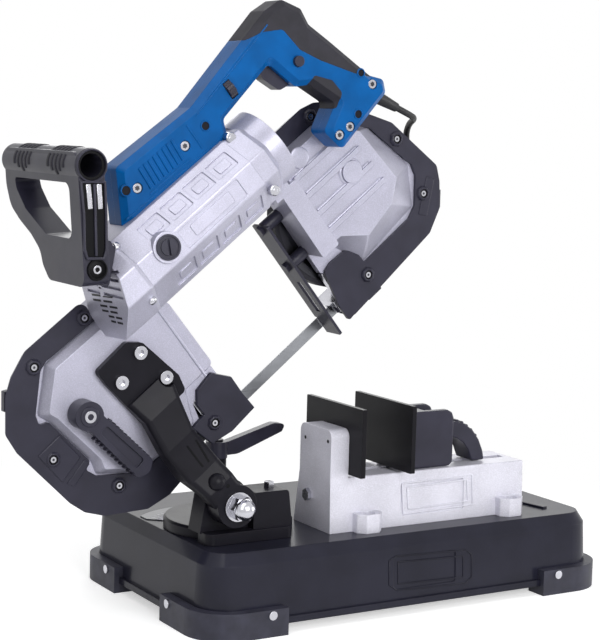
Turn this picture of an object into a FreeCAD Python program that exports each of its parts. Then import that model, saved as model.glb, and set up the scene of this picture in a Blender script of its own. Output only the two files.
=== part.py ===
import FreeCAD, Part
import math
import os

# Portable band saw on its bench stand, with swivel turret and quick vise. Millimetres, +Z up.
# The long side of the base runs along X, the operator stands at -Y and the blade lies at Y = 0.
# The saw is drawn in its own frame first: u (X) along the cutting run of the blade, v (Z) square
# to it, and is then tilted up about the pivot to its raised position.

V = FreeCAD.Vector

# Base pan and feet
BASE_L = 492.0
BASE_W = 292.0
BASE_R = 36.0
BASE_WALL = 3.0
BASE_SIDE_H = 55.0
BASE_TAPER = 3.0
BASE_BEVEL = 8.0
BASE_BEVEL_H = 12.0
LIP_T = 7.0
LIP_W = 4.0
FOOT_PAD = 10.0
FOOT_H = 28.0
FOOT_PROUD = 6.0
FOOT_ARM_X = 94.0
FOOT_ARM_Y = 101.0
FOOT_RIM = 26.0
FOOT_SCREW_R = 2.2
FOOT_SCREW_HEAD_R = 4.6
FOOT_SCREW_HEAD_T = 2.2
FOOT_SCREW_IN = 19.0
PANEL_X = 10.5
PANEL_L = 79.0
PANEL_H = 34.0
PANEL_DEEP = 1.2

# Vise
VISE_X = 40.0
VISE_L = 252.0
VISE_Y = -74.0
VISE_BED_H = 58.0
VISE_BED_W = 62.0
VISE_FLARE_FRONT = 2.0
VISE_FLARE_BACK = 10.0
VISE_WALL = 7.0
UPRIGHT_T = 22.0
UPRIGHT_H = 109.0
JAW_T = 5.0
JAW_W = 112.0
JAW_H = 72.0
JAW_LIFT = 3.0
JAW_OPEN = 57.0
JAW_BLOCK_L = 37.0
JAW_BLOCK_W = 48.0
JAW_BLOCK_H = 62.0
JAW_GAP = 5.0
JAW_PIN_R = 4.0
JAW_PIN_L = 24.0
JAW_SLOT_W = 12.0
JAW_SLOT_DEEP = 16.0
CLAMP_PIN_R = 3.0
CLAMP_HUB_R = 8.0
CLAMP_W = 30.0
CLAMP_REACH = 34.0
LUG_L = 31.0
LUG_W = 18.0
LUG_H = 20.0
VISE_BOLT_R = 4.0
VISE_BOLT_HEAD_R = 6.5

# Turret and pivot
SWIVEL_X = -165.0
SWIVEL_Y = -30.0
TURRET_R = 68.0
TURRET_DISC_H = 12.0
SWIVEL_PIN_R = 8.0
PIVOT_X = -199.0
PIVOT_Z = 125.0
PIVOT_R = 8.0
BOSS_R = 22.0
BOSS_FRONT = -112.0
BOSS_BACK = -88.0
EAR_T = 26.0
EAR_GAP = 1.0
STOP_BLOCK_L = 46.0
STOP_BLOCK_TOP = 134.0
LOCK_X = -145.0
LOCK_Y = 36.0
LOCK_Z = 150.0
LOCK_POST_R = 7.0
LOCK_L = 79.0
LOCK_RISE = 21.0

# Saw: wheels and blade
TILT = 39.2
WHEEL_R = 82.5
WHEEL_SPAN = 311.0
IDLER_U = -143.0
WHEEL_W = 16.0
TYRE_T = 5.0
BLADE_W = 12.7
BLADE_T = 0.65
AXLE_R = 8.0
HUB_R = 18.0
PIVOT_U = -150.0
PIVOT_V = -29.0

# Saw: castings, in depth from the blade towards the operator
PLATE_BACK = -13.0
PLATE_FRONT = -22.0
GUARD_FRONT = -26.0
GUARD_BACK = 18.0
GUARD_WALL = 3.0
PLATEAU_FRONT = -36.0
CASE_FRONT = -48.0
BAR_PROUD = 5.0
RIB_PROUD = 3.2
BRACKET_T = 8.0
COVER_T = 4.0
LUG_HALF = 7.0
LUG_OUT = 3.2
LUG_IN = 34.0

# Motor
MOTOR_V = 222.0
MOTOR_Y = -72.0
MOTOR_R = 54.0
MOTOR_BORE = 40.0
MOTOR_L = 174.0
MOTOR_TO_DRIVE = 82.0
MOTOR_STANDOFF = 5.0
NOSE_L = 26.0
NOSE_SEAM = 20.0
COLLAR_R = 42.0
CAP_L = 30.0
CAP_LEAN = 22.0
STATOR_L = 84.0
STATOR_T = 8.0
ROTOR_R = 30.0
SHAFT_R = 6.0
BRUSH_IN = 34.0
BRUSH_R = 12.5
PLATE_IN_REAR = 51.0
PLATE_IN_FRONT = 42.0
POCKETS = 4
POCKET_IN = 26.0
POCKET_PITCH = 31.0
POCKET_L = 27.0
POCKET_DEEP = 1.6
VENTS = 5
VENT_W = 3.0
VENT_PITCH = 8.5

# Handles
HANDLE_HALF = 20.0
HANDLE_BEVEL = 6.0
GRIP_R = 16.0
GRIP_BORE = 11.0
GRIP_IN = 16.0
GRIP_V = 346.0
GRIP_FRONT = -140.0
GRIP_BACK = 42.0

# Cord
CORD_R = 3.5
COIL_R = 40.0
COIL_TURNS = 3
COIL_STEP = 8.2

# Clearances
RUN_GAP = 0.4
FIT_GAP = 0.05
SKIN_GAP = 0.3

# Derived levels
LIP_TOP = FOOT_PAD + LIP_T
BEVEL_Z = LIP_TOP + BASE_SIDE_H
BASE_TOP = BEVEL_Z + BASE_BEVEL_H
TOP_L = BASE_L - 2 * BASE_TAPER - 2 * BASE_BEVEL
TOP_W = BASE_W - 2 * BASE_TAPER - 2 * BASE_BEVEL
DRIVE_U = IDLER_U + WHEEL_SPAN
MOTOR_U1 = DRIVE_U - MOTOR_TO_DRIVE
MOTOR_U0 = MOTOR_U1 - MOTOR_L
GRIP_U = MOTOR_U0 + GRIP_IN
WHEEL_V = WHEEL_R
TYRE_R = WHEEL_R - BLADE_T / 2 - SKIN_GAP

parts = {}


def box(x0, x1, y0, y1, z0, z1):
    return Part.makeBox(x1 - x0, y1 - y0, z1 - z0, V(x0, y0, z0))


def rod(start, axis, radius, length):
    return Part.makeCylinder(radius, length, start, axis)


def rod_y(u, v, y0, y1, radius):
    return rod(V(u, y0, v), V(0, 1, 0), radius, y1 - y0)


def rod_z(x, y, z0, z1, radius):
    return rod(V(x, y, z0), V(0, 0, 1), radius, z1 - z0)


def rounded(points, radius):
    """Closed wire through the points, each corner rounded as far as its sides allow."""
    count = len(points)
    entry = []
    for i in range(count):
        here = points[i]
        back = points[i - 1] - here
        ahead = points[(i + 1) % count] - here
        turn = math.pi - back.getAngle(ahead)
        size = radius[i] if isinstance(radius, list) else radius
        reach = size * math.tan(turn / 2)
        limit = 0.46 * min(back.Length, ahead.Length)
        cut = min(reach, limit)
        p = here + back.normalize() * cut
        q = here + ahead.normalize() * cut
        bulge = cut / math.tan(turn / 2) if turn > 0.01 else 0.0
        inner = (back + ahead)
        if inner.Length > 1e-6 and cut > 0.05:
            depth = bulge / math.cos(turn / 2) - bulge
            middle = here + inner.normalize() * depth
            entry.append((p, middle, q))
        else:
            entry.append((here, None, here))
    edges = []
    for i in range(count):
        p, middle, q = entry[i]
        if middle is not None:
            edges.append(Part.Arc(p, middle, q).toShape())
        ahead = entry[(i + 1) % count][0]
        if (ahead - q).Length > 1e-4:
            edges.append(Part.LineSegment(q, ahead).toShape())
    return Part.Wire(Part.__sortEdges__(edges))


def at_y(outline, y):
    return [V(u, y, v) for u, v in outline]


def at_z(outline, z):
    return [V(x, y, z) for x, y in outline]


def at_x(outline, x):
    return [V(x, y, z) for y, z in outline]


def prism(points, along, radius=0.0):
    return Part.Face(rounded(points, radius)).extrude(along)


def slab(outline, y0, y1, radius=0.0):
    """Plate with a u, v outline between two depths."""
    return prism(at_y(outline, y0), V(0, y1 - y0, 0), radius)


def loft(*wires):
    return Part.makeLoft(list(wires), True, True)


def inset(outline, distance):
    """The outline moved inwards by the distance, corner by corner."""
    count = len(outline)
    area = sum(outline[i - 1][0] * outline[i][1] - outline[i][0] * outline[i - 1][1] for i in range(count))
    side = 1.0 if area > 0 else -1.0
    moved = []
    for i in range(count):
        a = outline[i - 1]
        b = outline[i]
        c = outline[(i + 1) % count]
        d1 = math.atan2(b[1] - a[1], b[0] - a[0])
        d2 = math.atan2(c[1] - b[1], c[0] - b[0])
        bend = (d2 - d1 + math.pi) % (2 * math.pi) - math.pi
        normal = d1 + bend / 2 + side * math.pi / 2
        step = distance / max(math.cos(bend / 2), 0.35)
        moved.append((b[0] + step * math.cos(normal), b[1] + step * math.sin(normal)))
    return moved


def pillow(outline, y_edge, y_face, bevel, radius):
    """Moulded half: straight sides from y_edge, then a bevel up to the face."""
    knee = y_face - bevel if y_face > y_edge else y_face + bevel
    side = slab(outline, y_edge, knee, radius)
    crown = loft(rounded(at_y(outline, knee), radius), rounded(at_y(inset(outline, bevel), y_face), radius))
    return side.fuse(crown).removeSplitter()


def rect(x, y, length, width):
    a = length / 2
    b = width / 2
    return [(x - a, y - b), (x + a, y - b), (x + a, y + b), (x - a, y + b)]


def group(shapes):
    return Part.makeCompound(shapes)


def union(shapes):
    return shapes[0].multiFuse(shapes[1:]).removeSplitter() if len(shapes) > 1 else shapes[0]


def revolve(profile, axis_point, axis):
    wire = Part.makePolygon(profile + [profile[0]])
    return Part.Face(wire).revolve(axis_point, axis, 360)


def screw(seat, axis, shank_r, shank_l, head_r, head_t):
    """Round-headed screw: the seat is under the head, the axis points along the shank."""
    head = rod(seat, axis * -1, head_r, head_t)
    return head.fuse(rod(seat, axis, shank_r, shank_l)).removeSplitter()


def hex_rod(center, axis, across, length):
    """Hexagonal prism of the given width across flats."""
    ring = Part.makePolygon([V(across / math.sqrt(3) * math.cos(k * math.pi / 3),
                               across / math.sqrt(3) * math.sin(k * math.pi / 3), 0) for k in range(7)])
    solid = Part.Face(ring).extrude(V(0, 0, length))
    solid.Placement = FreeCAD.Placement(center, FreeCAD.Rotation(V(0, 0, 1), axis))
    return solid


# Base pan: a pressed dish with a lip at its foot, slightly tapered sides and a bevelled rim

def base_body(shrink, low):
    length = BASE_L - 2 * shrink
    width = BASE_W - 2 * shrink
    foot = rounded(at_z(rect(0, 0, length, width), low), BASE_R - shrink)
    knee = rounded(at_z(rect(0, 0, length - 2 * BASE_TAPER, width - 2 * BASE_TAPER), BEVEL_Z - shrink),
                   BASE_R - shrink - BASE_TAPER)
    rim = rounded(at_z(rect(0, 0, TOP_L - 2 * shrink, TOP_W - 2 * shrink), BASE_TOP - shrink),
                  BASE_R - shrink - BASE_TAPER - BASE_BEVEL)
    return loft(foot, knee).fuse(loft(knee, rim))


base_outer = base_body(0.0, LIP_TOP)
lip = prism(at_z(rect(0, 0, BASE_L + 2 * LIP_W, BASE_W + 2 * LIP_W), FOOT_PAD), V(0, 0, LIP_T),
            BASE_R + LIP_W)
base_outer = base_outer.fuse(lip).removeSplitter()
base_hollow = base_body(BASE_WALL, FOOT_PAD)
lean = math.degrees(math.atan(BASE_TAPER / BASE_SIDE_H))
panel_z = LIP_TOP + BASE_SIDE_H / 2
panel_y = -BASE_W / 2 + BASE_TAPER / 2
panel_cut = prism(at_y(rect(0, 0, PANEL_L, PANEL_H), -2 * PANEL_DEEP), V(0, 3 * PANEL_DEEP, 0), 4.0)
panel_cut.rotate(V(0, 0, 0), V(1, 0, 0), -lean)
panel_cut.translate(V(PANEL_X, panel_y, panel_z))
base_pan = base_outer.cut(base_hollow).cut(panel_cut)

# Rubber corner feet wrap the lip and carry the pan; each is held by two screws
foot_l = BASE_L + 2 * LIP_W + 2 * FOOT_PROUD
foot_w = BASE_W + 2 * LIP_W + 2 * FOOT_PROUD
foot_ring = prism(at_z(rect(0, 0, foot_l, foot_w), 0.0), V(0, 0, FOOT_H), BASE_R + LIP_W + FOOT_PROUD)
foot_open = prism(at_z(rect(0, 0, foot_l - 2 * FOOT_RIM, foot_w - 2 * FOOT_RIM), 0.0), V(0, 0, FOOT_PAD),
                  BASE_R)
foot_ring = foot_ring.cut(foot_open).cut(base_outer)
foot_screw_z = (LIP_TOP + FOOT_H) / 2
foot_screws = []
feet = {}
for side_x, word_x in ((-1, "left"), (1, "right")):
    for side_y, word_y in ((-1, "front"), (1, "rear")):
        x_out = side_x * foot_l / 2
        y_out = side_y * foot_w / 2
        x_in = x_out - side_x * FOOT_ARM_X
        y_in = y_out - side_y * FOOT_ARM_Y
        corner = box(min(x_in, x_out), max(x_in, x_out), min(y_in, y_out), max(y_in, y_out), 0.0, FOOT_H)
        feet["foot_" + word_y + "_" + word_x] = foot_ring.common(corner)
        reach = FOOT_PROUD + LIP_W + 2 * BASE_WALL
        front = screw(V(x_in + side_x * FOOT_SCREW_IN, y_out, foot_screw_z), V(0, -side_y, 0),
                      FOOT_SCREW_R, reach, FOOT_SCREW_HEAD_R, FOOT_SCREW_HEAD_T)
        end = screw(V(x_out, y_in + side_y * FOOT_SCREW_IN, foot_screw_z), V(-side_x, 0, 0),
                    FOOT_SCREW_R, reach, FOOT_SCREW_HEAD_R, FOOT_SCREW_HEAD_T)
        foot_screws += [front, end]
foot_screw_set = group(foot_screws)
parts["rubber_feet"] = group([feet[name].cut(foot_screw_set) for name in sorted(feet)])
base_pan = base_pan.cut(foot_screw_set)

# Vise casting: flared bed with an end upright, bolting lugs, a bare front panel and a jaw slot
vise_x0 = VISE_X - VISE_L / 2
vise_x1 = VISE_X + VISE_L / 2
bed_top = BASE_TOP + VISE_BED_H
bed_y0 = VISE_Y - VISE_BED_W / 2
bed_y1 = VISE_Y + VISE_BED_W / 2
bed_section = [(bed_y0 - VISE_FLARE_FRONT, BASE_TOP), (bed_y0, bed_top), (bed_y1, bed_top),
               (bed_y1 + VISE_FLARE_BACK, BASE_TOP)]
vise = prism(at_x(bed_section, vise_x0), V(VISE_L, 0, 0), [0.0, 2.0, 2.0, 0.0])
upright_top = BASE_TOP + UPRIGHT_H
upright_section = [(bed_y0, bed_top - VISE_WALL), (bed_y0, upright_top), (bed_y1, upright_top),
                   (bed_y1, bed_top - VISE_WALL)]
upright = prism(at_x(upright_section, vise_x0), V(UPRIGHT_T, 0, 0), [0.0, 9.0, 9.0, 0.0])
vise = vise.fuse(upright)
lug_x = [vise_x0 + 28.0 + LUG_L / 2, vise_x1 - 6.0 - LUG_L / 2]
lug_seats = []
for x in lug_x:
    for y_face, out in ((bed_y0, -1), (bed_y1 + VISE_FLARE_BACK - 2.0, 1)):
        y_edge = y_face + out * LUG_W
        nose = LUG_L / 4
        outline = [(x - LUG_L / 2, y_face - out * 3.0), (x - LUG_L / 2, y_edge - out * nose),
                   (x - nose, y_edge),
                   (x + nose, y_edge), (x + LUG_L / 2, y_edge - out * nose),
                   (x + LUG_L / 2, y_face - out * 3.0)]
        vise = vise.fuse(prism(at_z(outline, BASE_TOP), V(0, 0, LUG_H), [0.0, 2.0, 2.0, 2.0, 2.0, 0.0]))
        lug_seats.append(V(x, y_edge - out * LUG_W / 2, BASE_TOP + LUG_H / 2))
hollow_section = [(bed_y0 + VISE_WALL, BASE_TOP), (bed_y0 + VISE_WALL, bed_top - JAW_SLOT_DEEP - VISE_WALL),
                  (bed_y1 - VISE_WALL, bed_top - JAW_SLOT_DEEP - VISE_WALL), (bed_y1 - VISE_WALL, BASE_TOP)]
vise = vise.cut(prism(at_x(hollow_section, vise_x0 + UPRIGHT_T), V(VISE_L - UPRIGHT_T - VISE_WALL, 0, 0)))
slot_x0 = vise_x0 + UPRIGHT_T + 20.0
vise = vise.cut(box(slot_x0, vise_x1 - VISE_WALL, VISE_Y - JAW_SLOT_W / 2, VISE_Y + JAW_SLOT_W / 2,
                    bed_top - JAW_SLOT_DEEP, bed_top))
vise_lean = math.degrees(math.atan(VISE_FLARE_FRONT / VISE_BED_H))
vise_panel = prism(at_y(rect(0, 0, PANEL_L + 4.0, PANEL_H), -2 * PANEL_DEEP), V(0, 3 * PANEL_DEEP, 0), 3.0)
vise_panel.rotate(V(0, 0, 0), V(1, 0, 0), -vise_lean)
vise_panel.translate(V(VISE_X + 4.0, bed_y0 - VISE_FLARE_FRONT / 2, BASE_TOP + 0.48 * VISE_BED_H))
vise = vise.cut(vise_panel)
vise_bolts = []
for seat in lug_seats:
    bolt = screw(seat, V(0, 0, -1), VISE_BOLT_R, LUG_H / 2 + 3 * BASE_WALL, VISE_BOLT_HEAD_R, 6.0)
    well = rod(seat, V(0, 0, 1), VISE_BOLT_HEAD_R + RUN_GAP, LUG_H)
    socket = hex_rod(seat + V(0, 0, 3.0), V(0, 0, 1), 6.0, 4.0)
    vise = vise.cut(well).cut(bolt)
    base_pan = base_pan.cut(bolt)
    vise_bolts.append(bolt.cut(socket))
end_bolt = hex_rod(V(vise_x0, VISE_Y + 12.0, BASE_TOP + 0.58 * VISE_BED_H), V(-1, 0, 0), 12.0, 4.0)
end_bolt = end_bolt.fuse(rod(V(vise_x0, VISE_Y + 12.0, BASE_TOP + 0.58 * VISE_BED_H), V(1, 0, 0), 4.0, 14.0))
vise = vise.cut(end_bolt)
parts["vise_bolts"] = group(vise_bolts + [end_bolt])

# Fixed jaw plate on the upright, held by two countersunk screws
jaw_x = vise_x0 + UPRIGHT_T
jaw_z0 = bed_top + JAW_LIFT
jaw_outline = [(VISE_Y - JAW_W / 2, jaw_z0), (VISE_Y + JAW_W / 2, jaw_z0),
               (VISE_Y + JAW_W / 2, jaw_z0 + JAW_H),
               (VISE_Y - JAW_W / 2, jaw_z0 + JAW_H)]
fixed_jaw = prism(at_x(jaw_outline, jaw_x), V(JAW_T, 0, 0), 1.5)
jaw_screws = []
for side in (-1, 1):
    seat = V(jaw_x + JAW_T / 2, VISE_Y + side * 0.4 * VISE_BED_W, upright_top - 12.0)
    jaw_screws.append(screw(seat, V(-1, 0, 0), 2.5, JAW_T / 2 + UPRIGHT_T - 2.0, 5.0, JAW_T / 2))
jaw_screw_set = group(jaw_screws)
parts["fixed_jaw_plate"] = fixed_jaw.cut(jaw_screw_set)
parts["stand_screws"] = group(foot_screws + jaw_screws)
parts["vise_body"] = vise.cut(jaw_screw_set)

# Sliding jaw: block keyed in the bed slot, floating plate on two pins, flip lever that drives it
plate_x = jaw_x + JAW_T + JAW_OPEN
block_x0 = plate_x + JAW_T + JAW_GAP
block_x1 = block_x0 + JAW_BLOCK_L
block_z0 = bed_top + SKIN_GAP
block_z1 = block_z0 + JAW_BLOCK_H
block_y0 = VISE_Y - JAW_BLOCK_W / 2
block_y1 = VISE_Y + JAW_BLOCK_W / 2
block_side = [(block_x0, block_z0), (block_x1, block_z0), (block_x1, block_z1), (block_x0, block_z1)]
block = slab(block_side, block_y0, block_y1, [1.0, 1.0, 7.0, 5.0])
key = box(block_x0 + 4.0, block_x1 - 4.0, VISE_Y - JAW_SLOT_W / 2 + SKIN_GAP,
          VISE_Y + JAW_SLOT_W / 2 - SKIN_GAP,
          bed_top - JAW_SLOT_DEEP + 2.0, block_z0)
block = block.fuse(key)
clamp_x = block_x1 + CLAMP_HUB_R - 2.0
clamp_z = block_z1 - 22.0
ear_side = [(block_x1 - 6.0, clamp_z - CLAMP_HUB_R), (clamp_x, clamp_z - CLAMP_HUB_R),
            (clamp_x + CLAMP_HUB_R, clamp_z), (clamp_x, clamp_z + CLAMP_HUB_R),
            (block_x1 - 6.0, clamp_z + CLAMP_HUB_R)]
ear_t = (JAW_BLOCK_W - CLAMP_W) / 2 - RUN_GAP
for y0 in (block_y0, block_y1 - ear_t):
    block = block.fuse(slab(ear_side, y0, y0 + ear_t, [0.0, 4.0, 6.0, 4.0, 0.0]))
hub_room = rod_y(clamp_x, clamp_z, VISE_Y - CLAMP_W / 2 - RUN_GAP, VISE_Y + CLAMP_W / 2 + RUN_GAP,
                 CLAMP_HUB_R + 0.8)
block = block.cut(hub_room)
clamp_pin = rod_y(clamp_x, clamp_z, block_y0, block_y1, CLAMP_PIN_R)
block = block.cut(clamp_pin)
jaw_pins = []
for side in (-1, 1):
    y = VISE_Y + side * JAW_BLOCK_W / 4
    jaw_pins.append(rod(V(plate_x + JAW_T, y, clamp_z - 24.0), V(1, 0, 0), JAW_PIN_R, JAW_GAP + JAW_PIN_L))
    block = block.cut(rod(V(block_x0, y, clamp_z - 24.0), V(1, 0, 0), JAW_PIN_R + FIT_GAP, JAW_PIN_L + 4.0))
jaw_shift = plate_x - jaw_x
moving_plate = prism(at_x(jaw_outline, plate_x), V(JAW_T, 0, 0), 1.5)
parts["moving_jaw_block"] = block
parts["clamp_pin"] = clamp_pin
parts["moving_jaw_plate"] = union([moving_plate] + jaw_pins)
tip_z = bed_top + 1.0
tip_x = clamp_x + CLAMP_REACH
outer_arc = Part.Arc(V(clamp_x, 0, clamp_z + CLAMP_HUB_R),
                     V(clamp_x + 0.75 * CLAMP_REACH, 0, clamp_z - 10.0),
                     V(tip_x, 0, tip_z)).toShape()
inner_arc = Part.Arc(V(tip_x - 13.0, 0, tip_z), V(clamp_x + 0.46 * CLAMP_REACH, 0, clamp_z - 18.0),
                     V(clamp_x, 0, clamp_z - CLAMP_HUB_R + 1.0)).toShape()
tip_edge = Part.LineSegment(V(tip_x, 0, tip_z), V(tip_x - 13.0, 0, tip_z)).toShape()
root_edge = Part.LineSegment(V(clamp_x, 0, clamp_z - CLAMP_HUB_R + 1.0),
                             V(clamp_x, 0, clamp_z + CLAMP_HUB_R)).toShape()
paddle = Part.Face(Part.Wire([outer_arc, tip_edge, inner_arc, root_edge])).extrude(V(0, CLAMP_W, 0))
paddle.translate(V(0, VISE_Y - CLAMP_W / 2, 0))
clamp_hub = rod_y(clamp_x, clamp_z, VISE_Y - CLAMP_W / 2, VISE_Y + CLAMP_W / 2, CLAMP_HUB_R)
clamp_bore = rod_y(clamp_x, clamp_z, VISE_Y - CLAMP_W / 2, VISE_Y + CLAMP_W / 2, CLAMP_PIN_R + FIT_GAP)
parts["clamp_lever"] = paddle.fuse(clamp_hub).removeSplitter().cut(clamp_bore)

# Turret: swivel disc with the pivot ear at its front left and the stop block at its front right
disc_z0 = BASE_TOP + SKIN_GAP
disc_z1 = disc_z0 + TURRET_DISC_H
turret = rod_z(SWIVEL_X, SWIVEL_Y, disc_z0, disc_z1, TURRET_R)
turret = turret.cut(Part.makeTorus(TURRET_R + 2.0, 4.0, V(SWIVEL_X, SWIVEL_Y, disc_z1 + 1.0)))
ear_y1 = BOSS_BACK + EAR_GAP + EAR_T
ear_y0 = BOSS_BACK + EAR_GAP
ear_outline = [(PIVOT_X - BOSS_R - 7.0, disc_z1 - 2.0), (PIVOT_X + 74.0, disc_z1 - 2.0),
               (PIVOT_X + 66.0, STOP_BLOCK_TOP), (PIVOT_X + 26.0, STOP_BLOCK_TOP),
               (PIVOT_X + 14.0, PIVOT_Z + BOSS_R),
               (PIVOT_X - 14.0, PIVOT_Z + BOSS_R), (PIVOT_X - BOSS_R, PIVOT_Z + 10.0)]
turret = turret.fuse(slab(ear_outline, ear_y0, ear_y1, [0.0, 0.0, 4.0, 8.0, 14.0, 14.0, 14.0]))
stop_x1 = PIVOT_X + 72.0
stop_outline = [(stop_x1 - STOP_BLOCK_L, disc_z1 - 2.0), (stop_x1, disc_z1 - 2.0),
                (stop_x1 - 5.0, STOP_BLOCK_TOP),
                (stop_x1 - STOP_BLOCK_L, STOP_BLOCK_TOP)]
turret = turret.fuse(slab(stop_outline, ear_y0 - 12.0, ear_y1, [0.0, 0.0, 4.0, 4.0]))
toe_outline = rect(PIVOT_X + 22.0, ear_y0 - 2.0, 100.0, 28.0)
turret = turret.fuse(prism(at_z(toe_outline, disc_z0), V(0, 0, TURRET_DISC_H), 8.0))
swivel_pin = rod_z(SWIVEL_X, SWIVEL_Y, BASE_TOP - BASE_WALL - 12.0, disc_z1 + 4.0, SWIVEL_PIN_R)
swivel_pin = swivel_pin.fuse(rod_z(SWIVEL_X, SWIVEL_Y, disc_z1 + RUN_GAP, disc_z1 + 6.0, SWIVEL_PIN_R + 6.0))
swivel_nut = hex_rod(V(SWIVEL_X, SWIVEL_Y, BASE_TOP - BASE_WALL - 10.0), V(0, 0, 1), 24.0, 10.0)
swivel_pin = swivel_pin.fuse(swivel_nut).removeSplitter()
turret = turret.cut(rod_z(SWIVEL_X, SWIVEL_Y, disc_z0, disc_z1, SWIVEL_PIN_R + FIT_GAP))
base_pan = base_pan.cut(swivel_pin)
parts["swivel_pin"] = swivel_pin
scale_rim = rod_z(SWIVEL_X, SWIVEL_Y, BASE_TOP, BASE_TOP + 1.0, TURRET_R + 32.0)
scale_rim = scale_rim.cut(rod_z(SWIVEL_X, SWIVEL_Y, BASE_TOP, BASE_TOP + 1.0, TURRET_R + RUN_GAP))
fan = [(SWIVEL_X, SWIVEL_Y), (SWIVEL_X + 40.0, SWIVEL_Y + 130.0), (SWIVEL_X - 66.0, SWIVEL_Y + 130.0),
       (SWIVEL_X - 66.0, SWIVEL_Y + 60.0)]
parts["degree_scale"] = scale_rim.common(prism(at_z(fan, BASE_TOP), V(0, 0, 1.0)))
parts["base_pan"] = base_pan

# Stop screw on the turret, pivot bolt with washer and domed nut, and the swivel lock lever
stop_x = stop_x1 - 18.0
stop_y = (ear_y0 - 12.0 + ear_y1) / 2
stop_screw = rod_z(stop_x, stop_y, STOP_BLOCK_TOP - 14.0, STOP_BLOCK_TOP + 5.0, 3.0)
stop_screw = stop_screw.fuse(hex_rod(V(stop_x, stop_y, STOP_BLOCK_TOP + 2.0), V(0, 0, 1), 10.0, 4.0))
stop_screw = stop_screw.fuse(hex_rod(V(stop_x, stop_y, STOP_BLOCK_TOP), V(0, 0, 1), 10.0,
                                     2.0)).removeSplitter()
turret = turret.cut(stop_screw)
parts["stop_screw"] = stop_screw
nut_y = BOSS_FRONT - RUN_GAP
pivot = rod_y(PIVOT_X, PIVOT_Z, nut_y - 16.0, ear_y1 + 10.0, PIVOT_R)
pivot_head = hex_rod(V(PIVOT_X, ear_y1, PIVOT_Z), V(0, 1, 0), 24.0, 8.0)
pivot = pivot.fuse(pivot_head).removeSplitter()
turret = turret.cut(pivot)
washer = rod_y(PIVOT_X, PIVOT_Z, nut_y - 2.5, nut_y, 15.0)
nut = hex_rod(V(PIVOT_X, nut_y - 2.5, PIVOT_Z), V(0, -1, 0), 22.0, 12.0)
dome = Part.makeSphere(11.0, V(PIVOT_X, nut_y - 14.5, PIVOT_Z)).common(
    rod_y(PIVOT_X, PIVOT_Z, nut_y - 28.0, nut_y - 14.5, 11.0))
nut = nut.fuse(dome).fuse(rod_y(PIVOT_X, PIVOT_Z, nut_y - 18.0, nut_y - 14.5, 10.5)).removeSplitter()
parts["pivot_bolt"] = pivot
parts["pivot_nut"] = group([nut.cut(pivot), washer.cut(pivot)])
lock_post = rod_z(LOCK_X, LOCK_Y, disc_z1 - 8.0, LOCK_Z + 14.0, LOCK_POST_R)
lock_collar = rod_z(LOCK_X, LOCK_Y, disc_z1, LOCK_Z - 6.0 - RUN_GAP, LOCK_POST_R + 4.0)
lock_post = lock_post.fuse(lock_collar).removeSplitter()
turret = turret.fuse(lock_post).removeSplitter()
parts["turret"] = turret
lock_hub = rod_z(LOCK_X, LOCK_Y, LOCK_Z - 6.0, LOCK_Z + 12.0, 12.0)
lock_side = [(LOCK_X, LOCK_Z - 4.0), (LOCK_X + 0.3 * LOCK_L, LOCK_Z - 3.0),
             (LOCK_X + LOCK_L, LOCK_Z + LOCK_RISE - 3.0),
             (LOCK_X + LOCK_L + 4.0, LOCK_Z + LOCK_RISE + 5.0),
             (LOCK_X + LOCK_L - 10.0, LOCK_Z + LOCK_RISE + 7.0),
             (LOCK_X, LOCK_Z + 8.0)]
lock_arm = slab(lock_side, LOCK_Y - 5.5, LOCK_Y + 5.5, [0.0, 20.0, 3.0, 5.0, 12.0, 0.0])
lock_lever = lock_hub.fuse(lock_arm).removeSplitter()
parts["miter_lock_lever"] = lock_lever.cut(rod_z(LOCK_X, LOCK_Y, LOCK_Z - 8.0, LOCK_Z + 16.0,
                                                 LOCK_POST_R + FIT_GAP))
stand_nodes = sorted(parts)

# Saw frame, in u and v. Outlines round a wheel are written in wheel radii from that wheel's centre.

def around(centre, ratios):
    return [(centre + a * WHEEL_R, WHEEL_V + b * WHEEL_R) for a, b in ratios]


idler_outer = around(IDLER_U, [(0.22, 1.58), (-0.72, 1.59), (-1.05, 1.46), (-1.24, 1.33), (-1.53, 0.97),
                               (-1.56, 0.70),
                               (-1.45, -0.25), (-1.38, -0.48), (-1.22, -0.70), (-0.74, -1.05),
                               (-0.41, -1.12),
                               (-0.10, -1.085)])
idler_rear = around(IDLER_U, [(0.22, 1.37), (-0.66, 1.38), (-0.94, 1.27), (-1.13, 1.14), (-1.41, 0.78),
                              (-1.44, 0.52),
                              (-1.35, -0.35), (-1.28, -0.55), (-1.14, -0.72), (-0.73, -1.03), (-0.41, -1.10),
                              (-0.10, -1.075)])
idler_edge = around(IDLER_U, [(0.22, 1.28), (-0.60, 1.31), (-0.72, 1.27), (-1.10, 0.89), (-1.14, 0.77),
                              (-1.03, 0.72),
                              (-0.93, -0.03), (-1.04, -0.08), (-0.98, -0.24), (-0.53, -0.61),
                              (-0.10, -0.67)])
drive_outer = around(DRIVE_U, [(-0.36, 1.52), (0.24, 1.53), (0.44, 1.48), (0.70, 1.315), (1.25, 0.53),
                               (1.48, -0.37),
                               (1.39, -0.57), (1.18, -0.86), (0.85, -1.03), (-0.27, -1.10), (-0.84, -1.13)])
drive_rear = around(DRIVE_U, [(-0.36, 1.33), (0.22, 1.34), (0.42, 1.29), (0.68, 1.14), (1.20, 0.45),
                              (1.44, -0.40),
                              (1.36, -0.58), (1.16, -0.85), (0.84, -1.02), (-0.27, -1.09), (-0.84, -1.12)])
drive_edge = around(DRIVE_U, [(-0.38, 1.22), (0.25, 1.255), (0.45, 1.19), (0.93, 0.69), (1.12, 0.02),
                              (1.17, -0.10),
                              (1.13, -0.27), (0.885, -0.58), (0.70, -0.66), (-0.19, -0.67)])
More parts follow.
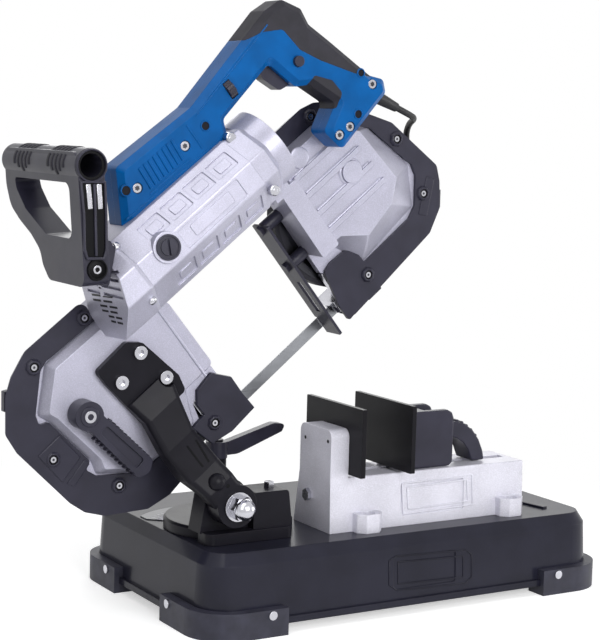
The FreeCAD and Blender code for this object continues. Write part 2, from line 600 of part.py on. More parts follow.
drive_corner = around(DRIVE_U, [(-0.84, -0.867), (-0.74, -0.37), (-0.60, -0.33), (-0.34, -0.345),
                                (-0.21, -0.45)])
throat_u0 = IDLER_U + 1.04 * WHEEL_R
throat_u1 = DRIVE_U - 0.78 * WHEEL_R
throat_v = 1.82 * WHEEL_R
spine_v = 2.36 * WHEEL_R

# Frame plate: a C of two wheel lobes and the spine, with rails over and under the return run
lobe_left = inset(idler_edge, -8.0)
lobe_right = inset(drive_edge, -8.0)
corner_v = WHEEL_V - 0.44 * WHEEL_R
frame_outline = ([(throat_u0, throat_v), (throat_u0, corner_v), (throat_u0 - 40.0, corner_v),
                  (throat_u0 - 47.0, WHEEL_V - 0.78 * WHEEL_R)]
                 + lobe_left[::-1][:-1] + [(IDLER_U, spine_v), (DRIVE_U - 20.0, spine_v)] + lobe_right[1:-1]
                 + [(DRIVE_U - 0.22 * WHEEL_R, WHEEL_V - 0.78 * WHEEL_R),
                    (DRIVE_U - 0.22 * WHEEL_R, corner_v + 4.0),
                    (throat_u1, corner_v + 4.0), (throat_u1, throat_v)])
frame = slab(frame_outline, PLATE_FRONT, PLATE_BACK, 4.0)
frame = frame.fuse(box(IDLER_U + 20.0, DRIVE_U - 40.0, PLATE_BACK, GUARD_BACK, spine_v - 6.0, spine_v))
frame = frame.fuse(box(throat_u0 + 8.0, throat_u1, PLATE_BACK, GUARD_BACK, throat_v, throat_v + 4.0))
plateau_foot = [(IDLER_U + 18.0, 2.28 * WHEEL_R), (IDLER_U - 0.62 * WHEEL_R, 2.29 * WHEEL_R),
                (IDLER_U - 1.08 * WHEEL_R, 1.86 * WHEEL_R), (IDLER_U - 1.02 * WHEEL_R, 1.70 * WHEEL_R),
                (IDLER_U - 0.92 * WHEEL_R, 0.95 * WHEEL_R), (IDLER_U - 0.97 * WHEEL_R, 0.77 * WHEEL_R),
                (IDLER_U - 0.53 * WHEEL_R, 0.40 * WHEEL_R), (throat_u0 - 52.0, 0.34 * WHEEL_R),
                (throat_u0 - 38.0, 0.76 * WHEEL_R), (throat_u0, 0.76 * WHEEL_R), (throat_u0, throat_v + 6.0),
                (throat_u0 - 34.0, 2.24 * WHEEL_R)]
plateau_top = inset(plateau_foot, 7.0)
plateau_top[9] = (throat_u0 - 1.0, plateau_top[9][1])
plateau_top[10] = (throat_u0 - 1.0, plateau_top[10][1])
frame = frame.fuse(loft(rounded(at_y(plateau_foot, PLATE_FRONT), 5.0),
                        rounded(at_y(plateau_top, PLATEAU_FRONT), 5.0)))

# Idler carriage in its pocket behind the plateau, shifted by the eccentric of the tension lever
pocket_y = PLATEAU_FRONT + 6.0
car_u0 = IDLER_U - 43.0
car_u1 = IDLER_U + 39.0
car_half = 20.5
TENSION_TRAVEL = 6.0
LEVER_U = -199.0
LEVER_V = 129.0
LEVER_L = 84.0
CAM_R = 4.0
CAM_SHAFT_R = 9.0
YOKE_GAP = 0.9
cam_u = LEVER_U - TENSION_TRAVEL / 2
yoke_half = CAM_R + YOKE_GAP
ear_u0 = cam_u - yoke_half - 3.4
ear_u1 = car_u0 + 14.0
ear_v1 = LEVER_V + TENSION_TRAVEL / 2 + yoke_half + 6.0
pocket = box(car_u0 - RUN_GAP, car_u1 + TENSION_TRAVEL + 1.0, pocket_y, PLATE_BACK,
             WHEEL_V - car_half - RUN_GAP, WHEEL_V + car_half + RUN_GAP)
pocket = pocket.fuse(box(ear_u0 - RUN_GAP, ear_u1 + TENSION_TRAVEL + 1.0, pocket_y, PLATE_BACK,
                         WHEEL_V + car_half - 8.0, ear_v1 + 1.0))
frame = frame.cut(pocket)
car_y0 = pocket_y + RUN_GAP
car_y1 = PLATE_BACK - SKIN_GAP
carriage = box(car_u0, car_u1, car_y0, car_y1, WHEEL_V - car_half, WHEEL_V + car_half)
carriage = carriage.fuse(box(ear_u0, ear_u1, car_y0, car_y1, WHEEL_V + car_half - 7.0,
                             ear_v1)).removeSplitter()
yoke = box(cam_u - yoke_half, cam_u + yoke_half, car_y0, car_y1, LEVER_V - yoke_half - TENSION_TRAVEL / 2,
           LEVER_V + yoke_half + TENSION_TRAVEL / 2)
carriage = carriage.cut(yoke)
axle = rod_y(IDLER_U, WHEEL_V, car_y0, WHEEL_W / 2 + 6.0, AXLE_R)
axle = axle.fuse(rod_y(IDLER_U, WHEEL_V, car_y0, car_y0 + 4.0, AXLE_R + 4.0))
axle = axle.fuse(rod_y(IDLER_U, WHEEL_V, car_y1, -WHEEL_W / 2 - RUN_GAP, AXLE_R + 3.0))
axle = axle.fuse(rod_y(IDLER_U, WHEEL_V, WHEEL_W / 2 + RUN_GAP, WHEEL_W / 2 + 4.0,
                       AXLE_R + 5.0)).removeSplitter()
parts["idler_carriage"] = carriage.fuse(axle).removeSplitter()
for side in (-1, 1):
    v_in = WHEEL_V + side * (car_half - 6.0)
    v_out = WHEEL_V + side * (car_half + 10.0)
    rail = box(car_u0 + 12.0, car_u1 + 14.0, PLATE_BACK, PLATE_BACK + 2.5, min(v_in, v_out),
               max(v_in, v_out))
    frame = frame.fuse(rail)

# Tension lever: ribbed cranked handle on a short shaft that ends in the eccentric
cam_shaft = rod_y(LEVER_U, LEVER_V, PLATEAU_FRONT - 10.0, pocket_y, CAM_SHAFT_R)
frame = frame.cut(rod_y(LEVER_U, LEVER_V, PLATEAU_FRONT, pocket_y, CAM_SHAFT_R + FIT_GAP))
cam = rod_y(cam_u, LEVER_V, pocket_y, car_y1 - 3.0, CAM_R)
parts["tension_cam"] = cam_shaft.fuse(cam).removeSplitter()
lever_y0 = PLATEAU_FRONT - 22.0
lever_y1 = PLATEAU_FRONT - SKIN_GAP - 0.7
lever_hub = rod_y(LEVER_U, LEVER_V, lever_y0, lever_y1, 15.0)
lever_dir = math.radians(-82.0)
lever_axis = (math.cos(lever_dir), math.sin(lever_dir))
lever_side = (-lever_axis[1], lever_axis[0])


def lever_point(along, across):
    return (LEVER_U + along * lever_axis[0] + across * lever_side[0],
            LEVER_V + along * lever_axis[1] + across * lever_side[1])


blade_outline = [lever_point(6.0, -10.0), lever_point(LEVER_L, -12.0), lever_point(LEVER_L + 6.0, 0.0),
                 lever_point(LEVER_L, 12.0), lever_point(6.0, 10.0)]
lever_arm = slab(blade_outline, lever_y0, lever_y0 + 12.0, [0.0, 5.0, 8.0, 5.0, 0.0])
lever_groove = slab([lever_point(20.0, -5.0), lever_point(LEVER_L - 8.0, -6.0),
                     lever_point(LEVER_L - 8.0, 6.0),
                     lever_point(20.0, 5.0)], lever_y0 - 1.0, lever_y0 + 3.0, 3.0)
lever = lever_hub.fuse(lever_arm).cut(lever_groove)
for k in range(9):
    for side in (-1, 1):
        u, v = lever_point(24.0 + k * 6.5, side * 12.6)
        lever = lever.cut(rod_y(u, v, lever_y0 - 1.0, lever_y1 + 1.0, 1.8))
lever_bolt = screw(V(LEVER_U, lever_y0 + 3.0, LEVER_V), V(0, 1, 0), 3.0, 18.0, 6.0, 3.0)
lever = lever.cut(rod_y(LEVER_U, LEVER_V, lever_y0 - 1.0, lever_y0 + 3.0, 7.0)).cut(lever_bolt)
lever = lever.cut(parts["tension_cam"])
parts["tension_cam"] = parts["tension_cam"].fuse(lever_bolt).removeSplitter()
parts["tension_lever"] = lever

# Wheels: rim, dished web with lightening holes and hub; rubber tyre pressed on the rim
rim_r = TYRE_R - TYRE_T
half_w = WHEEL_W / 2


def wheel_body(centre, bore):
    profile = [(bore, -half_w), (HUB_R, -half_w), (HUB_R + 2.0, -3.0), (rim_r - 10.0, -3.0),
               (rim_r - 8.0, -half_w),
               (rim_r, -half_w), (rim_r, half_w), (rim_r - 8.0, half_w), (rim_r - 10.0, 3.0),
               (HUB_R + 2.0, 3.0),
               (HUB_R, half_w), (bore, half_w)]
    body = revolve([V(centre + r, y, WHEEL_V) for r, y in profile], V(centre, 0, WHEEL_V), V(0, 1, 0))
    middle = (HUB_R + rim_r - 8.0) / 2
    hole = (rim_r - 12.0 - HUB_R) / 3.2
    for k in range(5):
        turn = 2 * math.pi * (k + 0.25) / 5
        body = body.cut(rod_y(centre + middle * math.cos(turn), WHEEL_V + middle * math.sin(turn), -4.0,
                              4.0, hole))
    return body


def tyre_body(centre):
    outer = rod_y(centre, WHEEL_V, -half_w, half_w, TYRE_R)
    return outer.cut(rod_y(centre, WHEEL_V, -half_w, half_w, rim_r))


parts["idler_wheel"] = wheel_body(IDLER_U, AXLE_R + FIT_GAP)
parts["idler_tyre"] = tyre_body(IDLER_U)
parts["drive_wheel"] = wheel_body(DRIVE_U, AXLE_R)
parts["drive_tyre"] = tyre_body(DRIVE_U)
drive_shaft = rod_y(DRIVE_U, WHEEL_V, CASE_FRONT + 10.0, half_w + 6.0, AXLE_R)
drive_shaft = drive_shaft.fuse(rod_y(DRIVE_U, WHEEL_V, half_w, half_w + 4.0, AXLE_R + 5.0)).removeSplitter()
parts["drive_shaft"] = drive_shaft
frame = frame.cut(rod_y(DRIVE_U, WHEEL_V, PLATE_FRONT, PLATE_BACK, AXLE_R + FIT_GAP))

# Blade: one band round both wheels, turned square to them between the guides in the throat
TWIST_LEAD = 20.0
GUIDE_LOW_U = throat_u0 - 6.0
GUIDE_HIGH_U = throat_u1 + 2.0


def blade_section(u, turn):
    across = V(0, math.cos(turn), math.sin(turn)) * (BLADE_W / 2)
    through = V(0, -math.sin(turn), math.cos(turn)) * (BLADE_T / 2)
    centre = V(u, 0, 0)
    corners = [centre + across + through, centre - across + through, centre - across - through,
               centre + across - through]
    return Part.makePolygon(corners + [corners[0]])


def blade_twist(u0, u1, turn0, turn1):
    steps = 6
    return loft(*[blade_section(u0 + (u1 - u0) * k / steps, turn0 + (turn1 - turn0) * k / steps)
                  for k in range(steps + 1)])


def blade_bend(centre, side):
    ring = rod_y(centre, WHEEL_V, -BLADE_W / 2, BLADE_W / 2, WHEEL_R + BLADE_T / 2)
    ring = ring.cut(rod_y(centre, WHEEL_V, -BLADE_W / 2, BLADE_W / 2, WHEEL_R - BLADE_T / 2))
    far = centre + side * 2 * WHEEL_R
    return ring.common(box(min(centre, far), max(centre, far), -BLADE_W, BLADE_W, -WHEEL_R, 3 * WHEEL_R))


twist = [IDLER_U + TWIST_LEAD, GUIDE_LOW_U - 10.0, GUIDE_HIGH_U + 8.0, DRIVE_U - TWIST_LEAD]
blade = [blade_bend(IDLER_U, -1), blade_bend(DRIVE_U, 1),
         box(IDLER_U, DRIVE_U, -BLADE_W / 2, BLADE_W / 2, 2 * WHEEL_R - BLADE_T / 2,
             2 * WHEEL_R + BLADE_T / 2),
         box(IDLER_U, twist[0], -BLADE_W / 2, BLADE_W / 2, -BLADE_T / 2, BLADE_T / 2),
         blade_twist(twist[0], twist[1], 0.0, math.pi / 2),
         box(twist[1], twist[2], -BLADE_T / 2, BLADE_T / 2, -BLADE_W / 2, BLADE_W / 2),
         blade_twist(twist[2], twist[3], math.pi / 2, 0.0),
         box(twist[3], DRIVE_U, -BLADE_W / 2, BLADE_W / 2, -BLADE_T / 2, BLADE_T / 2)]
parts["blade"] = union(blade)

# Blade guides: a block under each lobe carries two studs, and a roller turns on each stud
ROLLER_R = 7.0
ROLLER_L = 11.0
STUD_R = 2.5
GUIDE_ARM_V = BLADE_W / 2 + 3.0
roller_y = BLADE_T / 2 + SKIN_GAP + ROLLER_R
roller_v0 = GUIDE_ARM_V - RUN_GAP - ROLLER_L


def guide_block(u_mid, u0, u1, v1):
    block = box(u0, u1, PLATE_FRONT, PLATE_BACK - 1.0, GUIDE_ARM_V, v1)
    block = block.fuse(box(u_mid - 9.0, u_mid + 9.0, PLATE_FRONT, roller_y + ROLLER_R, GUIDE_ARM_V,
                           GUIDE_ARM_V + 7.0))
    for side in (-1, 1):
        stud = rod(V(u_mid, side * roller_y, roller_v0 - 2.0), V(0, 0, 1), STUD_R, ROLLER_L + 6.0)
        head = rod(V(u_mid, side * roller_y, roller_v0 - RUN_GAP - 2.0), V(0, 0, 1), STUD_R + 2.0, 2.0)
        block = block.fuse(stud).fuse(head)
    return block.removeSplitter()


def roller(u_mid, side):
    body = rod(V(u_mid, side * roller_y, roller_v0), V(0, 0, 1), ROLLER_R, ROLLER_L)
    return body.cut(rod(V(u_mid, side * roller_y, roller_v0), V(0, 0, 1), STUD_R + FIT_GAP, ROLLER_L))


parts["guide_block_lower"] = guide_block(GUIDE_LOW_U, throat_u0 - 40.0, throat_u0, corner_v)
parts["guide_block_upper"] = guide_block(GUIDE_HIGH_U, throat_u1, DRIVE_U - 0.22 * WHEEL_R, corner_v + 4.0)
parts["roller_lower_front"] = roller(GUIDE_LOW_U, -1)
parts["roller_lower_rear"] = roller(GUIDE_LOW_U, 1)
parts["roller_upper_front"] = roller(GUIDE_HIGH_U, -1)
parts["roller_upper_rear"] = roller(GUIDE_HIGH_U, 1)
cover_outline = [(throat_u0 - 28.0, 55.0), (throat_u0 - 6.0, 59.0), (throat_u0 + 7.0, 55.0),
                 (throat_u0 + 16.0, 1.0),
                 (throat_u0 - 48.0, -10.0), (throat_u0 - 34.0, 30.0), (throat_u0 - 40.0, 42.0)]
lower_cover = slab(cover_outline, PLATE_FRONT - COVER_T, PLATE_FRONT, 3.0)

# Guards: dished plastic covers round the wheels, open at the back and towards the throat
def between(first, last, share):
    return [(a[0] + (b[0] - a[0]) * share, a[1] + (b[1] - a[1]) * share) for a, b in zip(first, last)]


def guard(outer, rear, corner, edge, mouth):
    flange = between(outer, rear, (PLATE_FRONT - GUARD_FRONT) / (GUARD_BACK - GUARD_FRONT))
    rim = loft(rounded(at_y(outer, GUARD_FRONT), 9.0), rounded(at_y(rear, GUARD_BACK), 9.0))
    rim = rim.cut(loft(rounded(at_y(inset(flange, GUARD_WALL), PLATE_FRONT), 7.0),
                       rounded(at_y(inset(rear, GUARD_WALL), GUARD_BACK), 7.0)))
    rim = rim.cut(slab(mouth, PLATE_FRONT, GUARD_BACK))
    rim = rim.cut(slab([(u, v if v < WHEEL_V else v + 0.15 * WHEEL_R) for u, v in mouth], PLATE_FRONT,
                       PLATE_BACK + 4.0))
    if corner:
        rim = rim.fuse(slab(corner, GUARD_FRONT, PLATE_FRONT, 3.0))
    return rim.cut(slab(edge, GUARD_FRONT, PLATE_FRONT, 3.0)).removeSplitter()


idler_open = idler_edge + around(IDLER_U, [(0.60, -0.67), (0.60, 1.28)])
idler_mouth = around(IDLER_U, [(-0.17, -1.035), (0.40, -1.035), (0.60, 1.30), (0.13, 1.30)])
idler_guard = guard(idler_outer, idler_rear, [], idler_open, idler_mouth)
drive_open = drive_edge + drive_corner[::-1][:-1] + around(DRIVE_U, [(-0.95, -0.30), (-0.95, 1.22)])
drive_mouth = around(DRIVE_U, [(-0.95, -1.085), (-0.76, -1.085), (-0.30, 1.28), (-0.60, 1.28)])
drive_block = drive_corner + around(DRIVE_U, [(-0.12, -0.70), (-0.20, -1.05), (-0.84, -1.13)])
drive_guard = guard(drive_outer, drive_rear, drive_block, drive_open, drive_mouth)

# Gear case: lofted up from the drive lobe to a flat front with ribs, a bearing boss and handle pad
case_foot = around(DRIVE_U, [(-0.60, 1.27), (0.26, 1.27), (0.93, 0.69), (1.14, -0.08), (0.86, -0.58),
                             (-0.18, -0.66),
                             (-0.40, -0.25), (-0.60, -0.15)])
case_top = around(DRIVE_U, [(-0.56, 1.25), (0.19, 1.25), (0.65, 0.87), (0.74, 0.02), (0.47, -0.20),
                            (-0.04, -0.30),
                            (-0.39, -0.03), (-0.56, -0.03)])
case = loft(rounded(at_y(case_foot, PLATE_FRONT), 4.0), rounded(at_y(case_top, CASE_FRONT), 4.0))
bar = slab([(throat_u1, 0.93 * WHEEL_R), (throat_u1 + 24.0, 0.93 * WHEEL_R),
            (throat_u1 + 24.0, 2.0 * WHEEL_R),
            (throat_u1, 2.0 * WHEEL_R)], CASE_FRONT - BAR_PROUD, PLATE_FRONT, 3.0)
case = case.fuse(bar)
for row in (0.14, 0.42, 0.70, 0.98):
    reach = 0.60 - 0.10 * row
    rib = [(-0.50, row - 0.035), (reach, row - 0.035), (reach, row + 0.035), (-0.50, row + 0.035)]
    case = case.fuse(slab(around(DRIVE_U, rib), CASE_FRONT - RIB_PROUD, CASE_FRONT, 2.0))
case = case.fuse(rod_y(DRIVE_U + 0.23 * WHEEL_R, 1.53 * WHEEL_R, CASE_FRONT - 4.0, CASE_FRONT, 12.0))
FOOT_BACK = MOTOR_Y + HANDLE_HALF
pad = [(DRIVE_U + 14.0, 161.0), (DRIVE_U + 48.0, 161.0), (DRIVE_U + 36.0, 176.0), (DRIVE_U + 8.0, 190.0)]
case = case.fuse(slab(pad, FOOT_BACK, CASE_FRONT + 4.0, 4.0)).removeSplitter()
case = case.cut(rod_y(DRIVE_U, WHEEL_V, CASE_FRONT + 9.0, PLATE_FRONT, AXLE_R + FIT_GAP))

# Work stop: slotted plate across the throat, on two studs from the gear case bar
stop_u = throat_u1 - 26.0
stop_plate = prism(at_x([(-34.0, -12.0), (-2.0, -12.0), (-2.0, 139.0), (-34.0, 139.0)], stop_u),
                   V(3.0, 0, 0), 2.0)
stop_plate = stop_plate.cut(box(stop_u, stop_u + 3.0, -24.0, -16.0, 20.0, 62.0))
stop_plate = stop_plate.cut(box(stop_u, stop_u + 3.0, -5.0, 0.0, -13.0, 10.0))
studs = []
for v in (83.0, 134.0):
    stud = rod(V(stop_u - 4.0, -18.0, v), V(1, 0, 0), 3.5, throat_u1 - stop_u + 12.0)
    stud = stud.fuse(hex_rod(V(stop_u - 4.0, -18.0, v), V(1, 0, 0), 11.0, 4.0))
    studs.append(stud.fuse(rod(V(stop_u + 3.0, -18.0, v), V(1, 0, 0), 7.0,
                               throat_u1 - stop_u - 3.0)).removeSplitter())
stud_set = group(studs)
parts["work_stop"] = union([stop_plate] + studs)
frame = frame.cut(stud_set)

# Pivot bracket: plate bolted on the idler plateau, drawn forward and down to the pivot boss
bracket_front = PLATEAU_FRONT - BRACKET_T
bracket_plate = [(IDLER_U - 20.0, 153.0), (IDLER_U + 23.0, 155.0), (IDLER_U + 36.0, 143.0),
                 (IDLER_U + 46.0, 90.0),
                 (IDLER_U + 42.0, 72.0), (IDLER_U - 14.0, 72.0), (IDLER_U - 20.0, 136.0)]
bracket = slab(bracket_plate, bracket_front, PLATEAU_FRONT, 5.0)


def bracket_section(v, u_mid, width, y0, y1):
    corners = rect(u_mid, (y0 + y1) / 2, width, y1 - y0)
    return rounded(at_z(corners, v), 6.0)


boss_mid = (BOSS_FRONT + BOSS_BACK) / 2
bracket = bracket.fuse(loft(bracket_section(104.0, -131.0, 58.0, bracket_front - 4.0, PLATEAU_FRONT),
                            bracket_section(80.0, -135.0, 46.0, bracket_front - 14.0, PLATEAU_FRONT),
                            bracket_section(50.0, -147.0, 41.0, bracket_front - 32.0, PLATEAU_FRONT - 14.0),
                            bracket_section(22.0, -153.0, 40.0, BOSS_FRONT + 6.0, BOSS_BACK + 20.0),
                            bracket_section(PIVOT_V + 30.0, PIVOT_U - 1.0, 38.0, BOSS_FRONT, BOSS_BACK),
                            bracket_section(PIVOT_V + 10.0, PIVOT_U, 36.0, BOSS_FRONT, BOSS_BACK)))
bracket = bracket.fuse(rod_y(PIVOT_U, PIVOT_V, BOSS_FRONT, BOSS_BACK, BOSS_R))
bracket = bracket.cut(rod_y(PIVOT_U, PIVOT_V, BOSS_FRONT, BOSS_BACK, PIVOT_R + FIT_GAP))
bracket_bolts = []
for u, v in ((-116.0, 138.0), (-150.0, 128.0), (-110.0, 99.0)):
    bolt = screw(V(u, bracket_front, v), V(0, 1, 0), 4.0, BRACKET_T + 5.0, 7.0, 5.0)
    room = rod_y(u, v, bracket_front - 40.0, bracket_front, 9.0)
    bracket = bracket.cut(room).cut(bolt)
    frame = frame.cut(bolt)
    bracket_bolts.append(bolt.cut(hex_rod(V(u, bracket_front - 6.0, v), V(0, 1, 0), 6.0, 4.0)))
parts["arm_bracket"] = bracket.removeSplitter()

# Guard and cover screws, with lugs on the frame under those that lie off the plate
guard_screws = []
lug_points = [(-134.8, 198.0, IDLER_U), (-205.4, 195.0, IDLER_U), (-248.0, 109.0, IDLER_U),
              (-212.6, 38.2, IDLER_U),
              (DRIVE_U + 24.8, 195.0, DRIVE_U),
              (DRIVE_U + 97.0, 108.5, DRIVE_U), (DRIVE_U + 88.9, 38.7, DRIVE_U)]
for u, v, centre in lug_points:
    inward = V(centre - u, 0, WHEEL_V - v).normalize()
    across = V(-inward.z, 0, inward.x)
    root = V(u, PLATE_FRONT, v)
    corners = [root - across * LUG_HALF - inward * LUG_OUT, root + across * LUG_HALF - inward * LUG_OUT,
               root + across * LUG_HALF + inward * LUG_IN, root - across * LUG_HALF + inward * LUG_IN]
    frame = frame.fuse(prism(corners, V(0, PLATE_BACK - PLATE_FRONT, 0), [LUG_OUT, LUG_OUT, 0.0, 0.0]))
    guard_screws.append(screw(V(u, GUARD_FRONT, v), V(0, 1, 0), 2.2, 10.0, 4.6, 1.8))
for u, v in ((throat_u0 - 35.0, 14.0), (DRIVE_U - 21.0, 14.0)):
    guard_screws.append(screw(V(u, GUARD_FRONT, v), V(0, 1, 0), 2.2, 10.0, 4.6, 1.8))
guard_screw_set = group(guard_screws)
frame = frame.cut(pocket)
frame = frame.cut(guard_screw_set)
idler_guard = idler_guard.cut(guard_screw_set)
drive_guard = drive_guard.cut(guard_screw_set)
lower_cover = lower_cover.cut(guard_screw_set)
for name in ("guide_block_lower", "guide_block_upper"):
    parts[name] = parts[name].cut(guard_screw_set)

# Motor: faceted barrel with a foot on the spine, vented end bell, winding, armature and brush cap
motor_axis = V(0, MOTOR_Y, MOTOR_V)
along_u = V(1, 0, 0)
facet_top = (-0.48 * MOTOR_R, 0.78 * MOTOR_R)
facet_high = (-0.98 * MOTOR_R, 0.33 * MOTOR_R)
facet_low = (-1.02 * MOTOR_R, -0.17 * MOTOR_R)
facet_under = (-0.57 * MOTOR_R, -0.76 * MOTOR_R)
motor_back = PLATE_FRONT - MOTOR_STANDOFF - MOTOR_Y
motor_section = [facet_top, facet_high, facet_low, facet_under, (0.35 * MOTOR_R, -0.80 * MOTOR_R),
                 (motor_back, -0.45 * MOTOR_R), (motor_back, 0.41 * MOTOR_R),
                 (0.48 * MOTOR_R, 0.78 * MOTOR_R)]


def turned(profile):
    return revolve([V(u, MOTOR_Y, MOTOR_V + r) for u, r in profile], motor_axis, along_u)


def motor_wire(u, scale):
    return rounded([V(u, MOTOR_Y + a * scale, MOTOR_V + b * scale) for a, b in motor_section], 3.0)


nose_u = MOTOR_U1 + NOSE_L
cap_u = MOTOR_U0 - CAP_L
seam_u = MOTOR_U1 - NOSE_SEAM
barrel = loft(motor_wire(MOTOR_U0, 1.0), motor_wire(seam_u, 1.0))
barrel = barrel.fuse(loft(motor_wire(seam_u, 0.975), motor_wire(MOTOR_U1, 0.96)))
barrel = barrel.fuse(loft(motor_wire(MOTOR_U1, 0.96), motor_wire(MOTOR_U1 + 7.0, 0.84)))
barrel = barrel.fuse(rod(V(MOTOR_U1, MOTOR_Y, MOTOR_V), along_u, COLLAR_R, NOSE_L))
mount_u0 = MOTOR_U0 + 30.0
mount_l = seam_u - 20.0 - mount_u0
mount_low = spine_v - 34.0
mount_face = [V(mount_u0, MOTOR_Y, MOTOR_V - 0.70 * MOTOR_R), V(mount_u0, PLATE_FRONT, mount_low),
             V(mount_u0, PLATE_FRONT, MOTOR_V), V(mount_u0, MOTOR_Y, MOTOR_V)]
barrel = barrel.fuse(prism(mount_face, V(mount_l, 0, 0), 0.0)).removeSplitter()
bell = loft(motor_wire(MOTOR_U0, 1.0), motor_wire(MOTOR_U0 - 4.0, 1.02), motor_wire(cap_u - CAP_LEAN, 1.0))
lean_top = V(cap_u + CAP_LEAN, MOTOR_Y - 2 * MOTOR_R, MOTOR_V + MOTOR_R)
lean_low = V(cap_u - CAP_LEAN, MOTOR_Y - 2 * MOTOR_R, MOTOR_V - MOTOR_R)
off_low = V(cap_u - 2 * MOTOR_R, MOTOR_Y - 2 * MOTOR_R, MOTOR_V - MOTOR_R)
off_top = V(cap_u - 2 * MOTOR_R, MOTOR_Y - 2 * MOTOR_R, MOTOR_V + MOTOR_R)
lean_tool = prism([lean_top, lean_low, off_low, off_top], V(0, 4 * MOTOR_R, 0), 0.0)
cap = bell.cut(lean_tool)
motor_envelope = barrel.fuse(cap)
housing = barrel.cut(turned([(MOTOR_U0, 0.0), (MOTOR_U0, MOTOR_BORE), (seam_u, MOTOR_BORE),
                             (nose_u - 9.0, MOTOR_BORE - 12.0), (nose_u - 9.0, 0.0)]))


def facet_tool(first, last, u0, u1, share0, share1, deep, proud=1.0):
    """Block over a stretch of one facet, between two shares of its width, sunk into it."""
    run = V(0, last[0] - first[0], last[1] - first[1])
    outward = V(0, run.z, -run.y).normalize() * -1
    if outward.y > 0:
        outward = outward * -1
    start = V(0, MOTOR_Y + first[0], MOTOR_V + first[1])
    corners = [start + run * share + V(u, 0, 0) + outward * proud
               for u, share in ((u0, share0), (u1, share0), (u1, share1), (u0, share1))]
    return prism(corners, outward * -(deep + proud), 2.0)


for k in range(POCKETS):
    u0 = MOTOR_U0 + POCKET_IN + POCKET_PITCH * k
    for first, last in ((facet_top, facet_high), (facet_low, facet_under)):
        hollow = facet_tool(first, last, u0, u0 + POCKET_L, 0.24, 0.80, POCKET_DEEP)
        housing = housing.cut(hollow)
        housing = housing.fuse(facet_tool(first, last, u0 + 6.0, u0 + POCKET_L - 5.0, 0.40, 0.68,
                                          POCKET_DEEP, -0.5))
plate_u0 = MOTOR_U0 + PLATE_IN_REAR
plate_u1 = MOTOR_U1 - PLATE_IN_FRONT
plate_cut = facet_tool(facet_high, facet_low, plate_u0, plate_u1, 0.14, 0.88, 1.2)
plate_pad = facet_tool(facet_high, facet_low, plate_u0 + 14.0, plate_u1 - 14.0, 0.28, 0.74, 1.2, -0.5)
housing = housing.cut(plate_cut).fuse(plate_pad).removeSplitter()
brush_dir = V(0, facet_low[1] - facet_high[1], facet_high[0] - facet_low[0]).normalize()
brush_seat = V(MOTOR_U0 + BRUSH_IN, MOTOR_Y, MOTOR_V + 0.10 * MOTOR_R) + brush_dir * (MOTOR_BORE + 3.0)
brush_l = 0.99 * MOTOR_R - MOTOR_BORE
brush = rod(brush_seat, brush_dir, BRUSH_R, brush_l + 1.5)
collar = rod(brush_seat, brush_dir, BRUSH_R + 3.0, brush_l - 0.5)
housing = housing.fuse(collar).cut(brush)
brush_top = brush_seat + brush_dir * (brush_l + 1.5)
slot_way = V(0.5, 0, 0.87)
slot_across = V(0.87, 0, -0.5)
slot_ends = ((-8.0, -1.4), (8.0, -1.4), (8.0, 1.4), (-8.0, 1.4))
slot_corners = [brush_top + slot_way * a + slot_across * b for a, b in slot_ends]
slot = prism([p + brush_dir * 2.0 for p in slot_corners], brush_dir * -4.0, 0.0)
ring_cut = rod(brush_top - brush_dir * 1.2, brush_dir, BRUSH_R - 2.0, 3.0)
ring_cut = ring_cut.cut(rod(brush_top - brush_dir * 2.0, brush_dir, BRUSH_R - 4.5, 5.0))
parts["brush_cap"] = brush.cut(slot).cut(ring_cut)
cap = cap.cut(turned([(MOTOR_U0, 0.0), (MOTOR_U0, MOTOR_BORE), (MOTOR_U0 - 12.0, MOTOR_BORE),
                      (cap_u + 9.0, MOTOR_BORE - 22.0), (cap_u + 9.0, 0.0)]))
lean_way = (lean_low - lean_top).normalize()
lean_out = V(lean_way.z, 0, -lean_way.x)
for k in range(VENTS):
    slit_at = lean_top + lean_way * (0.42 * MOTOR_R + VENT_PITCH * k)
    for y0, y1 in ((MOTOR_Y - 0.92 * MOTOR_R, MOTOR_Y - 0.10 * MOTOR_R),
                   (MOTOR_Y + 0.05 * MOTOR_R, MOTOR_Y + 0.62 * MOTOR_R)):
        a = V(slit_at.x, y0, slit_at.z) - lean_out * 3.0
        b = a + lean_way * VENT_W
        slit = prism([a, b, b + lean_out * 6.0, a + lean_out * 6.0], V(0, y1 - y0, 0), 0.0)
        cap = cap.cut(slit)
shaft_bore = rod(V(cap_u + 2.0, MOTOR_Y, MOTOR_V), along_u, SHAFT_R + FIT_GAP, nose_u - cap_u - 3.0)
cap = cap.cut(shaft_bore)
housing = housing.cut(shaft_bore)
parts["motor_end_cap"] = cap
stator_u = MOTOR_U0 + 26.0
stator = rod(V(stator_u, MOTOR_Y, MOTOR_V), along_u, MOTOR_BORE, STATOR_L)
parts["stator"] = stator.cut(rod(V(stator_u, MOTOR_Y, MOTOR_V), along_u, MOTOR_BORE - STATOR_T, STATOR_L))
rotor_u = stator_u + 2.0
